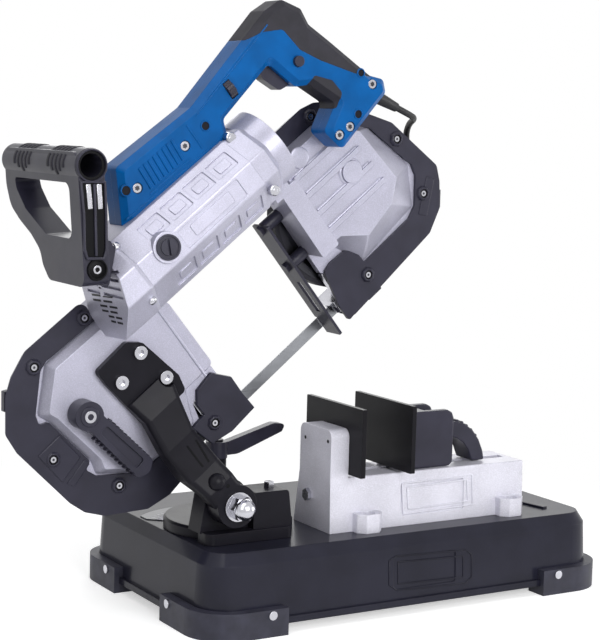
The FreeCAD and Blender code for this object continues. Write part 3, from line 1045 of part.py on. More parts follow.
armature = turned([(cap_u + 3.0, 0.0), (cap_u + 3.0, SHAFT_R), (rotor_u - 26.0, SHAFT_R),
                   (rotor_u - 26.0, 17.0),
                   (rotor_u - 14.0, 17.0), (rotor_u - 14.0, SHAFT_R + 3.0), (rotor_u, ROTOR_R),
                   (rotor_u + STATOR_L - 4.0, ROTOR_R), (rotor_u + STATOR_L + 4.0, SHAFT_R + 3.0),
                   (rotor_u + STATOR_L + 12.0, SHAFT_R + 3.0), (rotor_u + STATOR_L + 12.0, MOTOR_BORE - 8.0),
                   (rotor_u + STATOR_L + 18.0, MOTOR_BORE - 8.0), (rotor_u + STATOR_L + 18.0, SHAFT_R),
                   (nose_u - 2.0, SHAFT_R), (nose_u - 2.0, 0.0)])
parts["armature"] = armature
parts["motor_housing"] = housing
motor_body = motor_envelope
neck = box(MOTOR_U1 + 4.0, nose_u, MOTOR_Y + 6.0, PLATE_FRONT, 1.98 * WHEEL_R, MOTOR_V)
case = case.fuse(neck).removeSplitter()
frame = frame.cut(motor_body)
case = case.cut(motor_body).cut(drive_guard)
idler_guard = idler_guard.cut(motor_body)
for name in ("guide_block_lower", "guide_block_upper"):
    parts[name] = parts[name].cut(frame)

# Rear handle: two moulded halves over the barrel, soft grip, trigger, lock button and speed dial
handle_u = MOTOR_U1 - 86.0


def on_handle(points):
    return [(handle_u + a, b) for a, b in points]


handle_outline = on_handle([(-36.0, 312.0), (62.0, 308.0), (186.0, 333.0), (208.0, 331.0), (221.0, 310.0),
                            (219.0, 292.0), (228.0, 266.0), (247.0, 207.0), (258.0, 194.0), (252.0, 181.0),
                            (217.0, 175.0), (174.5, 167.5), (168.5, 195.5), (197.0, 210.0), (183.0, 244.0),
                            (169.0, 252.0), (158.0, 289.0), (84.0, 277.0), (76.0, 257.0), (-70.0, 257.0)])
grip_zone = on_handle([(138.0, 345.0), (262.0, 345.0), (264.0, 212.0), (247.0, 205.0), (231.0, 222.0),
                       (206.0, 257.0),
                       (193.0, 280.0), (189.0, 308.0), (168.0, 320.0), (148.0, 324.0)])
palm_zone = on_handle([(176.0, 243.0), (191.0, 250.0), (205.0, 233.0), (207.0, 216.0), (192.0, 204.0)])
handle_front = pillow(handle_outline, MOTOR_Y, MOTOR_Y - HANDLE_HALF, HANDLE_BEVEL, 6.0)
handle_back = pillow(handle_outline, MOTOR_Y, MOTOR_Y + HANDLE_HALF, HANDLE_BEVEL, 6.0)
grip_slab = slab(grip_zone, MOTOR_Y - HANDLE_HALF - 1.0, MOTOR_Y + HANDLE_HALF + 1.0, 6.0)
palm_slab = slab(palm_zone, MOTOR_Y - HANDLE_HALF - 1.0, MOTOR_Y + HANDLE_HALF + 1.0, 4.0)
grip_slab = group([grip_slab, palm_slab])
grip = handle_front.fuse(handle_back).common(grip_slab).removeSplitter()
handle_front = handle_front.cut(grip_slab).cut(motor_envelope)
handle_back = handle_back.cut(grip_slab).cut(motor_envelope)

TRIGGER_W = 15.0
TRIGGER_TURN = 9.0
TRIGGER_PIN_R = 2.5
trigger_u = handle_u + 182.0
trigger_v = 290.0
trigger_pivot_u = trigger_u - 28.0
trigger_outline = [(trigger_u - 33.0, 296.0), (trigger_u - 35.0, 278.0), (trigger_u - 27.0, 258.0),
                   (trigger_u - 16.0, 256.0), (trigger_u - 10.0, 262.0), (trigger_u, 284.0),
                   (trigger_u + 6.0, 292.0),
                   (trigger_u, 298.0)]
trigger = slab(trigger_outline, MOTOR_Y - TRIGGER_W / 2, MOTOR_Y + TRIGGER_W / 2,
               [3.0, 8.0, 5.0, 4.0, 3.0, 3.0, 3.0, 3.0])
trigger_room = slab(inset(trigger_outline, -2.5), MOTOR_Y - TRIGGER_W / 2 - RUN_GAP,
                    MOTOR_Y + TRIGGER_W / 2 + RUN_GAP)
pressed = trigger_room.copy()
pressed.rotate(V(trigger_pivot_u, 0, trigger_v), V(0, 1, 0), -TRIGGER_TURN)
trigger_pin = rod_y(trigger_pivot_u, trigger_v, MOTOR_Y - TRIGGER_W / 2 - 5.0,
                    MOTOR_Y + TRIGGER_W / 2 + 5.0, TRIGGER_PIN_R)
SWITCH_L = 26.0
switch_u = trigger_u - 50.0
switch = box(switch_u - SWITCH_L / 2, switch_u + SWITCH_L / 2, MOTOR_Y - 9.0, MOTOR_Y + 9.0, 284.0, 304.0)
BUTTON_R = 5.5
BUTTON_PROUD = 4.0
BUTTON_TRAVEL = 2.5
button_u = handle_u + 184.0
button_v = 272.5
face_y = MOTOR_Y - HANDLE_HALF
button = rod_y(button_u, button_v, face_y - BUTTON_PROUD, face_y + 6.0, BUTTON_R)
button_room = rod_y(button_u, button_v, face_y - 1.0, face_y + 6.0 + BUTTON_TRAVEL + 0.5, BUTTON_R + FIT_GAP)
DIAL_R = 11.0
DIAL_W = 8.0
DIAL_PROUD = 4.0
dial_u = handle_u + 106.0
dial_v = 297.0
dial_y = face_y + DIAL_R - DIAL_PROUD
dial = rod(V(dial_u - DIAL_W / 2, dial_y, dial_v), along_u, DIAL_R, DIAL_W)
for k in range(12):
    turn = 2 * math.pi * k / 12
    dial = dial.cut(rod(V(dial_u - DIAL_W, dial_y + (DIAL_R + 0.6) * math.cos(turn),
                          dial_v + (DIAL_R + 0.6) * math.sin(turn)), along_u, 1.5, 2 * DIAL_W))
dial_pin = rod(V(dial_u - DIAL_W, dial_y, dial_v), along_u, 2.0, 2 * DIAL_W)
dial = dial.cut(rod(V(dial_u - DIAL_W, dial_y, dial_v), along_u, 2.0 + FIT_GAP, 2 * DIAL_W))
dial_room = rod(V(dial_u - DIAL_W / 2 - RUN_GAP, dial_y, dial_v), along_u, DIAL_R + 0.6,
                DIAL_W + 2 * RUN_GAP)
handle_screws = []
for u, v, deep in ((33.0, 284.0, 30.0), (-32.0, 284.0, 30.0), (179.0, 183.0, 48.0), (194.0, 182.0, 48.0),
                   (242.0, 200.0, 30.0)):
    u = handle_u + u
    handle_screws.append(screw(V(u, face_y + 4.0, v), V(0, 1, 0), 2.5, deep - 6.0, 4.6, 3.0))
    handle_front = handle_front.cut(rod_y(u, v, face_y - 1.0, face_y + 4.0, 5.4))
handle_screw_set = group(handle_screws)
inner_cuts = [trigger_room, pressed, trigger_pin, switch, button_room, dial_room, dial_pin, handle_screw_set]
for tool in inner_cuts:
    handle_front = handle_front.cut(tool)
    handle_back = handle_back.cut(tool)
    grip = grip.cut(tool)
case = case.cut(handle_screw_set)
parts["handle_front"] = handle_front
parts["handle_back"] = handle_back
parts["grip_overmould"] = grip
parts["housing_screws"] = group(guard_screws + handle_screws)
parts["trigger"] = trigger.cut(rod_y(trigger_pivot_u, trigger_v, MOTOR_Y - 20.0, MOTOR_Y + 20.0,
                                     TRIGGER_PIN_R + FIT_GAP))
parts["switch_unit"] = switch
parts["lock_button"] = button
parts["speed_dial"] = dial
parts["handle_pins"] = group([trigger_pin, dial_pin])

# Front D handle: tube grip across the saw, near and far arms, and a saddle on the motor cap
seat_u = MOTOR_U0 - 48.0
seat_v = MOTOR_V + 0.60 * MOTOR_R
arm_dir = V(seat_u - GRIP_U, 0, seat_v - GRIP_V)
D_LEN = arm_dir.Length
arm_dir = arm_dir.normalize()
arm_normal = V(-arm_dir.z, 0, arm_dir.x)
D_HALF = 13.0
D_BAR = 36.0
D_ARM = 23.0


def d_point(y, along, out):
    return V(GRIP_U, y, GRIP_V) + arm_dir * along + arm_normal * out


d_outer = [(GRIP_FRONT, -GRIP_R + 3.0), (GRIP_BACK, -GRIP_R + 3.0), (GRIP_BACK, 24.0),
           (GRIP_BACK - 9.0, 45.0),
           (GRIP_BACK - 31.0, 58.0), (GRIP_BACK - 58.0, 70.0), (GRIP_BACK - 79.0, 84.0),
           (GRIP_BACK - 84.0, 98.0),
           (GRIP_BACK - 98.0, D_LEN), (GRIP_FRONT, D_LEN)]
d_window = [(GRIP_FRONT + D_ARM, GRIP_R), (GRIP_BACK - D_ARM, GRIP_R), (GRIP_BACK - D_ARM - 5.0, 28.0),
            (GRIP_BACK - D_ARM - 25.0, 46.0), (GRIP_BACK - D_ARM - 59.0, 61.0),
            (GRIP_BACK - D_ARM - 75.0, 68.0),
            (GRIP_FRONT + D_ARM, 68.0)]
d_handle = prism([d_point(y, w, -D_HALF) for y, w in d_outer], arm_normal * (2 * D_HALF),
                 [12.0, 14.0, 24.0, 24.0, 30.0, 30.0, 24.0, 14.0, 14.0, 12.0])
d_handle = d_handle.cut(prism([d_point(y, w, -2 * D_HALF) for y, w in d_window],
                              arm_normal * (4 * D_HALF), 9.0))
d_handle = d_handle.fuse(rod_y(GRIP_U, GRIP_V, GRIP_FRONT, GRIP_BACK, GRIP_R))
d_handle = d_handle.cut(rod_y(GRIP_U, GRIP_V, GRIP_FRONT, GRIP_FRONT + 70.0, GRIP_BORE))
for out in (-4.5, 4.5):
    slot_low = d_point(GRIP_FRONT - 1.0, 24.0, out - 2.5)
    face = Part.Face(Part.makePolygon([slot_low, slot_low + arm_dir * 34.0,
                                       slot_low + arm_dir * 34.0 + arm_normal * 5.0,
                                       slot_low + arm_normal * 5.0, slot_low]))
    d_handle = d_handle.cut(face.extrude(V(0, D_ARM + 2.0, 0)))
saddle = [(MOTOR_U0 - 16.0, seat_v + 22.0), (MOTOR_U0 - 38.0, seat_v - 7.0),
          (MOTOR_U0 - 34.0, seat_v - 18.0),
          (MOTOR_U0 - 6.0, seat_v + 6.0), (MOTOR_U0 - 4.0, seat_v + 18.0)]
d_handle = d_handle.fuse(slab(saddle, MOTOR_Y - 0.8 * MOTOR_R, MOTOR_Y + 0.8 * MOTOR_R, 4.0))
d_handle = d_handle.cut(motor_envelope).cut(handle_front).cut(handle_back)
d_bolt_at = d_point(GRIP_FRONT, 96.0, 0.0)
d_bolts = []
for y0, side, length in ((GRIP_FRONT, 1, 50.0), (GRIP_BACK - 84.0, -1, 30.0)):
    seat = V(d_bolt_at.x, y0 + side * 4.0, d_bolt_at.z)
    bolt = screw(seat, V(0, side, 0), 4.0, length, 7.0, 4.0)
    d_handle = d_handle.cut(bolt).cut(rod(seat, V(0, -side, 0), 8.5, 60.0))
    d_bolts.append(bolt.cut(hex_rod(seat - V(0, side * 2.0, 0), V(0, -side, 0), 6.0, 4.0)))
parts["front_handle"] = d_handle.removeSplitter()
parts["cap_screws"] = group(bracket_bolts + d_bolts)

# Mains lead: tapered strain relief out of the rear handle, a free bend behind the drive guard,
# and the spare length wound flat in two layers against the rim of that guard, with tie and plug

def arc_between(p, tangent, q):
    """Arc from p to q that leaves p along the tangent."""
    chord = q - p
    reach = chord.Length
    side = tangent.cross(chord)
    if side.Length < 1e-6 * reach:
        return Part.LineSegment(p, q).toShape()
    normal = side.normalize()
    inward = normal.cross(tangent).normalize()
    radius = reach * reach / (2 * chord.dot(inward))
    centre = p + inward * radius
    middle = (p + q) * 0.5 - centre
    turn_past_half = chord.dot(tangent) < 0
    outward = middle.normalize() * (-radius if turn_past_half else radius)
    return Part.Arc(p, centre + outward, q).toShape()


def biarc(p, t0, q, t1):
    span = q - p
    both = t0 + t1
    spread = 2 * (1 - t0.dot(t1))
    lean_in = span.dot(both)
    if spread < 1e-9:
        return [Part.LineSegment(p, q).toShape()]
    reach = (-lean_in + math.sqrt(lean_in * lean_in + spread * span.dot(span))) / spread
    joint = (p + t0 * reach + q - t1 * reach) * 0.5
    first = arc_between(p, t0, joint)
    second = arc_between(q, t1 * -1, joint)
    return [first, second]


def tube(edges, start, heading, radius):
    path = Part.Wire(Part.__sortEdges__(edges))
    ring = Part.Wire(Part.makeCircle(radius, start, heading))
    sweep = Part.BRepOffsetAPI.MakePipeShell(path)
    sweep.add(ring)
    sweep.build()
    sweep.makeSolid()
    solid = Part.Solid(sweep.shape()) if sweep.shape().ShapeType != "Solid" else sweep.shape()
    return solid, path


COIL_U = DRIVE_U + 72.0
COIL_V = 40.0
half_turns = 2 * COIL_TURNS + 1
coil_y0 = GUARD_BACK + SKIN_GAP + CORD_R
coil_y1 = coil_y0 + COIL_STEP
coil_out = COIL_R + COIL_STEP * half_turns / 4
down = V(0, 0, -1)
up = V(0, 0, 1)
coil_start = V(COIL_U + coil_out, coil_y0, COIL_V + 2 * CORD_R)
here = V(COIL_U + coil_out, coil_y0, COIL_V)
coil_edges = [Part.LineSegment(coil_start, here).toShape()]
radius = coil_out - COIL_STEP / 4
side = -1
for k in range(half_turns):
    there = here + V(2 * side * radius, 0, 0)
    coil_edges += biarc(here, down if side < 0 else up, there, up if side < 0 else down)
    here = there
    side = -side
    radius -= COIL_STEP / 2
climb = radius + COIL_STEP / 2 - 0.375 * COIL_STEP
there = here + V(2 * side * climb, COIL_STEP, 0)
coil_edges += biarc(here, up, there, down)
here = there
side = -side
radius = climb + COIL_STEP / 2
for k in range(half_turns):
    there = here + V(2 * side * radius, 0, 0)
    coil_edges += biarc(here, down if side < 0 else up, there, up if side < 0 else down)
    here = there
    side = -side
    radius += COIL_STEP / 2
COIL_TAIL = 36.0
coil_end = here + V(0, 0, COIL_TAIL)
coil_edges.append(Part.LineSegment(here, coil_end).toShape())
coil, coil_path = tube(coil_edges, coil_start, down, CORD_R)
parts["cord_coil"] = coil

# Least distance of the winding to itself, on points along it
walk = []
for edge in coil_path.OrderedEdges:
    count = max(4, int(edge.Length / 4.0))
    walk += edge.discretize(count)[:-1]
travel = [0.0]
for k in range(1, len(walk)):
    travel.append(travel[-1] + (walk[k] - walk[k - 1]).Length)
least = 1000.0
for i in range(len(walk)):
    for k in range(i + 1, len(walk)):
        if travel[k] - travel[i] > 12 * CORD_R:
            least = min(least, (walk[k] - walk[i]).Length - 2 * CORD_R)
print("coil gap to itself", round(least, 2), "length", round(coil_path.Length, 1))

RELIEF_L = 52.0
RELIEF_R = 8.0
relief_at = V(handle_u + 246.0, MOTOR_Y + 10.0, 188.0)
relief_dir = V(0.52, 0.26, -0.81).normalize()
relief_end = relief_at + relief_dir * RELIEF_L
relief = Part.makeCone(RELIEF_R, CORD_R + 1.5, RELIEF_L, relief_at, relief_dir)
relief = relief.fuse(rod(relief_at - relief_dir * 6.0, relief_dir, RELIEF_R, 6.0)).removeSplitter()
for name in ("handle_front", "handle_back", "grip_overmould"):
    parts[name] = parts[name].cut(relief)
parts["strain_relief"] = relief

route = [relief_end, relief_end + relief_dir * 24.5, V(298.5, -25.0, 110.5), V(301.0, -1.5, 101.0),
         V(298.0, 14.5, 86.0), coil_start + V(0, 0, 19.0), coil_start]
cord_edges = []
last = route[0]
cord_length = 0.0
for k in range(1, len(route) - 1):
    back = route[k - 1] - route[k]
    ahead = route[k + 1] - route[k]
    turn = math.pi - back.getAngle(ahead)
    reach = 0.45 * min(back.Length, ahead.Length)
    print("cord radius", k, round(reach / math.tan(turn / 2), 1), "turn", round(math.degrees(turn), 1))
    p = route[k] + V(back).normalize() * reach
    q = route[k] + V(ahead).normalize() * reach
    cord_edges.append(Part.LineSegment(last, p).toShape())
    cord_edges.append(arc_between(p, V(back).normalize() * -1, q))
    last = q
cord_edges.append(Part.LineSegment(last, route[-1]).toShape())
cord, cord_path = tube(cord_edges, route[0], relief_dir, CORD_R)
parts["cord"] = cord
section = math.pi * CORD_R * CORD_R
print("cord volume share", round(cord.Volume / section / cord_path.Length, 4),
      round(coil.Volume / section / coil_path.Length, 4))
print("cord length", round(cord_path.Length + coil_path.Length, 1))

PLUG_L = 40.0
PLUG_R = 14.0
PIN_R = 2.4
PIN_L = 18.0
PIN_SPACING = 19.0
plug = Part.makeCone(CORD_R + 2.5, PLUG_R, PLUG_L * 0.6, coil_end, up)
plug = plug.fuse(rod(coil_end + up * (PLUG_L * 0.6), up, PLUG_R, PLUG_L * 0.4))
for side in (-1, 1):
    plug = plug.fuse(rod(coil_end + V(0, side * PIN_SPACING / 2, PLUG_L), up, PIN_R, PIN_L))
parts["plug"] = plug.removeSplitter()
TIE_W = 10.0
TIE_T = 1.5
tie_low = COIL_V + climb - CORD_R - RUN_GAP
tie_high = COIL_V + coil_out - 0.6 * COIL_STEP + CORD_R + RUN_GAP
tie_y0 = coil_y0 - CORD_R - RUN_GAP
tie_y1 = coil_y1 + CORD_R + RUN_GAP
tie = box(COIL_U - TIE_W / 2, COIL_U + TIE_W / 2, tie_y0 - TIE_T, tie_y1 + TIE_T, tie_low - TIE_T,
          tie_high + TIE_T)
parts["cord_tie"] = tie.cut(box(COIL_U - TIE_W, COIL_U + TIE_W, tie_y0, tie_y1, tie_low, tie_high))

parts["main_frame"] = frame
parts["gear_case"] = case
parts["lower_guide_cover"] = lower_cover
parts["idler_guard"] = idler_guard
parts["drive_guard"] = drive_guard

# Tilt the saw about the pivot to its raised stop, then stand the whole on its bottom centre
cord_nodes = ["cord", "cord_coil", "cord_tie", "plug"]
tilt = FreeCAD.Rotation(V(0, 1, 0), -TILT)
lift = V(PIVOT_X, 0, PIVOT_Z) - tilt.multVec(V(PIVOT_U, 0, PIVOT_V))
raised = FreeCAD.Placement(lift, tilt)
for name in parts:
    if name not in stand_nodes:
        parts[name].Placement = raised.multiply(parts[name].Placement)
low = V(1e9, 1e9, 1e9)
high = V(-1e9, -1e9, -1e9)
for name in parts:
    if name not in cord_nodes:
        span = parts[name].optimalBoundingBox(False, False)
        low = V(min(low.x, span.XMin), min(low.y, span.YMin), min(low.z, span.ZMin))
        high = V(max(high.x, span.XMax), max(high.y, span.YMax), max(high.z, span.ZMax))
shift = V(-(low.x + high.x) / 2, -(low.y + high.y) / 2, -low.z)


def tell(name, point, on_saw):
    spot = raised.multVec(point) + shift if on_saw else point + shift
    print("anchor", name, round(spot.x, 4), round(spot.y, 4), round(spot.z, 4))


print("box", low, high)
print("axis along", tilt.multVec(V(1, 0, 0)), "axis square", tilt.multVec(V(0, 0, 1)))
tell("swivel", V(SWIVEL_X, SWIVEL_Y, BASE_TOP), False)
tell("pivot", V(PIVOT_X, 0, PIVOT_Z), False)
tell("lock", V(LOCK_X, LOCK_Y, LOCK_Z), False)
tell("jaw", V(block_x0, VISE_Y, bed_top), False)
tell("plate", V(plate_x, VISE_Y, bed_top), False)
tell("clamp", V(clamp_x, VISE_Y, clamp_z), False)
tell("foot", V(-foot_l / 2 + FOOT_RIM / 2, -foot_w / 2 + FOOT_ARM_Y / 2, 0), False)
tell("idler", V(IDLER_U, 0, WHEEL_V), True)
tell("drive", V(DRIVE_U, 0, WHEEL_V), True)
tell("tension", V(LEVER_U, PLATEAU_FRONT, LEVER_V), True)
tell("motor", motor_axis, True)
tell("trigger", V(trigger_pivot_u, MOTOR_Y, trigger_v), True)
tell("button", V(button_u, face_y, button_v), True)
tell("dial", V(dial_u, dial_y, dial_v), True)
for name, u_mid, side in (("lower_front", GUIDE_LOW_U, -1), ("lower_rear", GUIDE_LOW_U, 1),
                          ("upper_front", GUIDE_HIGH_U, -1), ("upper_rear", GUIDE_HIGH_U, 1)):
    tell("roller_" + name, V(u_mid, side * roller_y, roller_v0), True)

os.makedirs("parts", exist_ok=True)
for name in sorted(parts):
    shape = parts[name]
    shape.translate(shift)
    shape.exportStep("parts/" + name + ".step")
    print("node", name, len(shape.Solids), round(shape.Volume), shape.isValid())
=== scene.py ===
import math

import bmesh
import bpy
from mathutils import Matrix, Vector
from mathutils.bvhtree import BVHTree


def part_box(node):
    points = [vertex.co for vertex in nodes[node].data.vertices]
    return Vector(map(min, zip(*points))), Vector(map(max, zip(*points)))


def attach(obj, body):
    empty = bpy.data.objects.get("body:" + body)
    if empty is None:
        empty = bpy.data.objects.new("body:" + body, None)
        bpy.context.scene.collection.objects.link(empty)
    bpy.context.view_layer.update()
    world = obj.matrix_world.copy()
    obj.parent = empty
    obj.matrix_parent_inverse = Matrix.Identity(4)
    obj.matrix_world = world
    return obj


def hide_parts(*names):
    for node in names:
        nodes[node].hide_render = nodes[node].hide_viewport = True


# Portable band saw on a bench stand: looks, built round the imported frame. Metres, Z up.
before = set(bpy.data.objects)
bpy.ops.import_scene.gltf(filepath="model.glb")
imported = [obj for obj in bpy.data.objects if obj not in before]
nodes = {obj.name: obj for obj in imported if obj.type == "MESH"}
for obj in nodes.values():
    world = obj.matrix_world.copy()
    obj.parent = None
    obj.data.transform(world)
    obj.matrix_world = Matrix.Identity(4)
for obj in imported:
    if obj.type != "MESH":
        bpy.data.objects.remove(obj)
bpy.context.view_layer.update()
scene = bpy.context.scene
scene.view_settings.view_transform = "Standard"

MM = 0.001
base_low, base_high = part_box("base_pan")
ORIGIN_X = (base_low[0] + base_high[0]) / 2
SAW_TILT = math.radians(39.2)
ALONG = Vector((math.cos(SAW_TILT), 0, math.sin(SAW_TILT)))
SQUARE = Vector((-math.sin(SAW_TILT), 0, math.cos(SAW_TILT)))
DEPTH = Vector((0, 1, 0))


def stand(x, y, z):
    """Point of the stand, in millimetres from the middle of the base on the floor."""
    return Vector((ORIGIN_X + x * MM, y * MM, z * MM))


BLADE_MIDDLE = stand(-101.087, 0, 242.278)


def saw(u, y, v):
    """Point of the saw, in millimetres along the blade, in depth and square to the blade."""
    return BLADE_MIDDLE + (ALONG * u + DEPTH * y + SQUARE * v) * MM


# Camera at the photograph's place
EYE = stand(-1011.41, -1576.03, 508.93)
YAW = math.radians(30.99)
PITCH = math.radians(6.614)
ROLL = math.radians(1.544)
FOCAL_PX = 1703.3
IMAGE_WIDTH = 600
IMAGE_HEIGHT = 640
SENSOR = 36.0
right = Vector((math.cos(YAW), -math.sin(YAW), 0))
ahead = Vector((math.sin(YAW), math.cos(YAW), 0))
up = Vector((0, 0, 1))
look = ahead * math.cos(PITCH) - up * math.sin(PITCH)
rise = up * math.cos(PITCH) + ahead * math.sin(PITCH)
side = right * math.cos(ROLL) + rise * math.sin(ROLL)
crown = rise * math.cos(ROLL) - right * math.sin(ROLL)
camera_data = bpy.data.cameras.new("camera")
camera_data.sensor_fit = "HORIZONTAL"
camera_data.sensor_width = SENSOR
camera_data.lens = FOCAL_PX / IMAGE_WIDTH * SENSOR
camera_data.clip_end = 50
camera = bpy.data.objects.new("camera", camera_data)
camera.matrix_world = Matrix.Translation(EYE) @ Matrix((side, crown, -look)).transposed().to_4x4()
scene.collection.objects.link(camera)
scene.camera = camera


# Materials, with lengths in metres
BEVEL_SAMPLES = 4
# How far the rounded and the flat normal agree where the lighter edge colour, wear mixed with a painted
# highlight, starts and where it is full
EDGE_WEAR_AND_SHEEN_STARTS = 0.995
EDGE_WEAR_AND_SHEEN_FULL = 0.90


def srgb(r, g, b):
    """Colour written as 0 to 255 screen values."""
    def linear(c):
        c = c / 255
        return c / 12.92 if c <= 0.04045 else ((c + 0.055) / 1.055) ** 2.4
    return (linear(r), linear(g), linear(b), 1)


def shade(colour, factor):
    """The colour made darker or lighter."""
    return (colour[0] * factor, colour[1] * factor, colour[2] * factor, 1)


def combined(tree, operation, first, second):
    """Two shader values put together by one step of arithmetic."""
    step = tree.nodes.new("ShaderNodeMath")
    step.operation = operation
    tree.links.new(first, step.inputs[0])
    tree.links.new(second, step.inputs[1])
    return step.outputs[0]


class Finish:
    """Principled material with object coordinates, built up one effect at a time."""

    def __init__(self, name, colour, roughness, metallic=0.0, **sockets):
        self.material = bpy.data.materials.new(name)
        self.material.use_nodes = True
        self.nodes = self.material.node_tree.nodes
        self.links = self.material.node_tree.links
        self.shader = self.nodes["Principled BSDF"]
        self.shader.inputs["Base Color"].default_value = colour
        self.shader.inputs["Roughness"].default_value = roughness
        self.shader.inputs["Metallic"].default_value = metallic
        for socket, value in sockets.items():
            self.shader.inputs[socket.replace("_", " ")].default_value = value
        self.place = self.nodes.new("ShaderNodeTexCoord").outputs["Object"]
        self.colour = colour
        self.roughness = roughness
        self.bump_from = None

    def noise(self, scale, detail, stretch=None):
        """Cloudy pattern, which may be stretched along the tilted saw."""
        source = self.place
        if stretch:
            mapping = self.nodes.new("ShaderNodeMapping")
            mapping.inputs["Scale"].default_value = stretch
            mapping.inputs["Rotation"].default_value = (0, SAW_TILT, 0)
            self.links.new(source, mapping.inputs["Vector"])
            source = mapping.outputs["Vector"]
        texture = self.nodes.new("ShaderNodeTexNoise")
        texture.inputs["Scale"].default_value = scale
        texture.inputs["Detail"].default_value = detail
        self.links.new(source, texture.inputs["Vector"])
        return texture.outputs["Fac"]

    def cells(self, scale):
        """Pattern of small round cells."""
        texture = self.nodes.new("ShaderNodeTexVoronoi")
        texture.inputs["Scale"].default_value = scale
        self.links.new(self.place, texture.inputs["Vector"])
        return texture.outputs["Distance"]

    def joined(self, first, second, share):
        """Two patterns laid over each other, the second with the given share."""
        mix = self.nodes.new("ShaderNodeMix")
        mix.inputs["Factor"].default_value = share
        self.links.new(first, mix.inputs["A"])
        self.links.new(second, mix.inputs["B"])
        return mix.outputs["Result"]

    def mottle(self, factor, dark, light, start=0.35, end=0.65):
        """Colour that wanders between two shades of the base colour."""
        ramp = self.nodes.new("ShaderNodeValToRGB")
        ramp.color_ramp.elements[0].position = start
        ramp.color_ramp.elements[1].position = end
        ramp.color_ramp.elements[0].color = shade(self.colour, dark)
        ramp.color_ramp.elements[1].color = shade(self.colour, light)
        self.links.new(factor, ramp.inputs["Fac"])
        self.links.new(ramp.outputs["Color"], self.shader.inputs["Base Color"])

    def worn(self, factor, spread):
        """Roughness that wanders round its middle value."""
        span = self.nodes.new("ShaderNodeMapRange")
        span.inputs["To Min"].default_value = self.roughness - spread
        span.inputs["To Max"].default_value = self.roughness + spread
        self.links.new(factor, span.inputs["Value"])
        self.links.new(span.outputs["Result"], self.shader.inputs["Roughness"])

    def bump(self, factor, strength, distance):
        """Fine relief, laid over the rounded edges and any relief before it."""
        node = self.nodes.new("ShaderNodeBump")
        node.inputs["Strength"].default_value = strength
        node.inputs["Distance"].default_value = distance
        self.links.new(factor, node.inputs["Height"])
        if self.bump_from:
            self.links.new(self.bump_from, node.inputs["Normal"])
        self.bump_from = node.outputs["Normal"]
        self.links.new(self.bump_from, self.shader.inputs["Normal"])

    def edges(self, radius, lighter):
        """Rounded look along sharp edges, and the colour made lighter there in patches: partly rubbed paint
        or gloss, partly a painted edge highlight.
        """
        bevel = self.nodes.new("ShaderNodeBevel")
        bevel.samples = BEVEL_SAMPLES
        bevel.inputs["Radius"].default_value = radius
        self.bump_from = bevel.outputs["Normal"]
        self.links.new(self.bump_from, self.shader.inputs["Normal"])
        if lighter == 1.0:
            return
        flat = self.nodes.new("ShaderNodeNewGeometry")
        agree = self.nodes.new("ShaderNodeVectorMath")
        agree.operation = "DOT_PRODUCT"
        self.links.new(bevel.outputs["Normal"], agree.inputs[0])
        self.links.new(flat.outputs["Normal"], agree.inputs[1])
        # Lighter colour along the edges: partly wear, partly a painted highlight
        edge_wear_and_sheen = self.nodes.new("ShaderNodeMapRange")
        edge_wear_and_sheen.inputs["From Min"].default_value = EDGE_WEAR_AND_SHEEN_STARTS
        edge_wear_and_sheen.inputs["From Max"].default_value = EDGE_WEAR_AND_SHEEN_FULL
        self.links.new(agree.outputs["Value"], edge_wear_and_sheen.inputs["Value"])
        patches = self.noise(scale=90, detail=4)
        rubbed_and_sheen = combined(self.material.node_tree, "MULTIPLY", edge_wear_and_sheen.outputs["Result"], patches)
        mix = self.nodes.new("ShaderNodeMix")
        mix.data_type = "RGBA"
        mix.inputs["B"].default_value = shade(self.colour, lighter)
        self.links.new(rubbed_and_sheen, mix.inputs["Factor"])
        source = self.shader.inputs["Base Color"].links[0].from_socket
        self.links.new(source, mix.inputs["A"])
        self.links.new(mix.outputs["Result"], self.shader.inputs["Base Color"])


def paint(name, colour, roughness, metallic, grain):
    """Metallic paint over a sand casting: faint flake, orange peel, patches of gloss, and edges painted
    lighter, partly as rubbed paint and partly as a painted highlight.
    """
    finish = Finish(name, colour, roughness, metallic)
    flake = finish.joined(finish.noise(scale=26, detail=4), finish.cells(scale=1100), share=0.5)
    finish.mottle(flake, dark=0.80, light=1.10, start=0.28, end=0.68)
    finish.edges(radius=0.0011, lighter=1.35)
    finish.worn(finish.noise(scale=60, detail=5), spread=0.06)
    finish.bump(finish.noise(scale=900, detail=2), strength=0.10, distance=grain)
    finish.bump(finish.noise(scale=140, detail=3), strength=0.12, distance=grain * 2)
    return finish.material


def plastic(name, colour, roughness, grain, lighter=2.0, gloss=0.25):
    """Moulded plastic: fine spark-eroded grain, slightly shinier rubbed patches, and edges painted lighter,
    partly as rubbing and partly as a painted sheen.
    """
    finish = Finish(name, colour, roughness, Specular_IOR_Level=gloss)
    finish.mottle(finish.noise(scale=35, detail=4), dark=0.85, light=1.12)
    finish.edges(radius=0.0009, lighter=lighter)
    finish.worn(finish.noise(scale=45, detail=5), spread=0.07)
    finish.bump(finish.cells(scale=1500), strength=0.25, distance=grain)
    return finish.material


def rubber(name, colour, roughness):
    """Moulded rubber: dull, with a coarse grain and dusty patches."""
    finish = Finish(name, colour, roughness, Specular_IOR_Level=0.3)
    finish.mottle(finish.noise(scale=60, detail=5), dark=0.8, light=1.25)
    finish.edges(radius=0.0009, lighter=1.0)
    finish.worn(finish.noise(scale=80, detail=4), spread=0.08)
    finish.bump(finish.noise(scale=1100, detail=3), strength=0.35, distance=0.00012)
    return finish.material


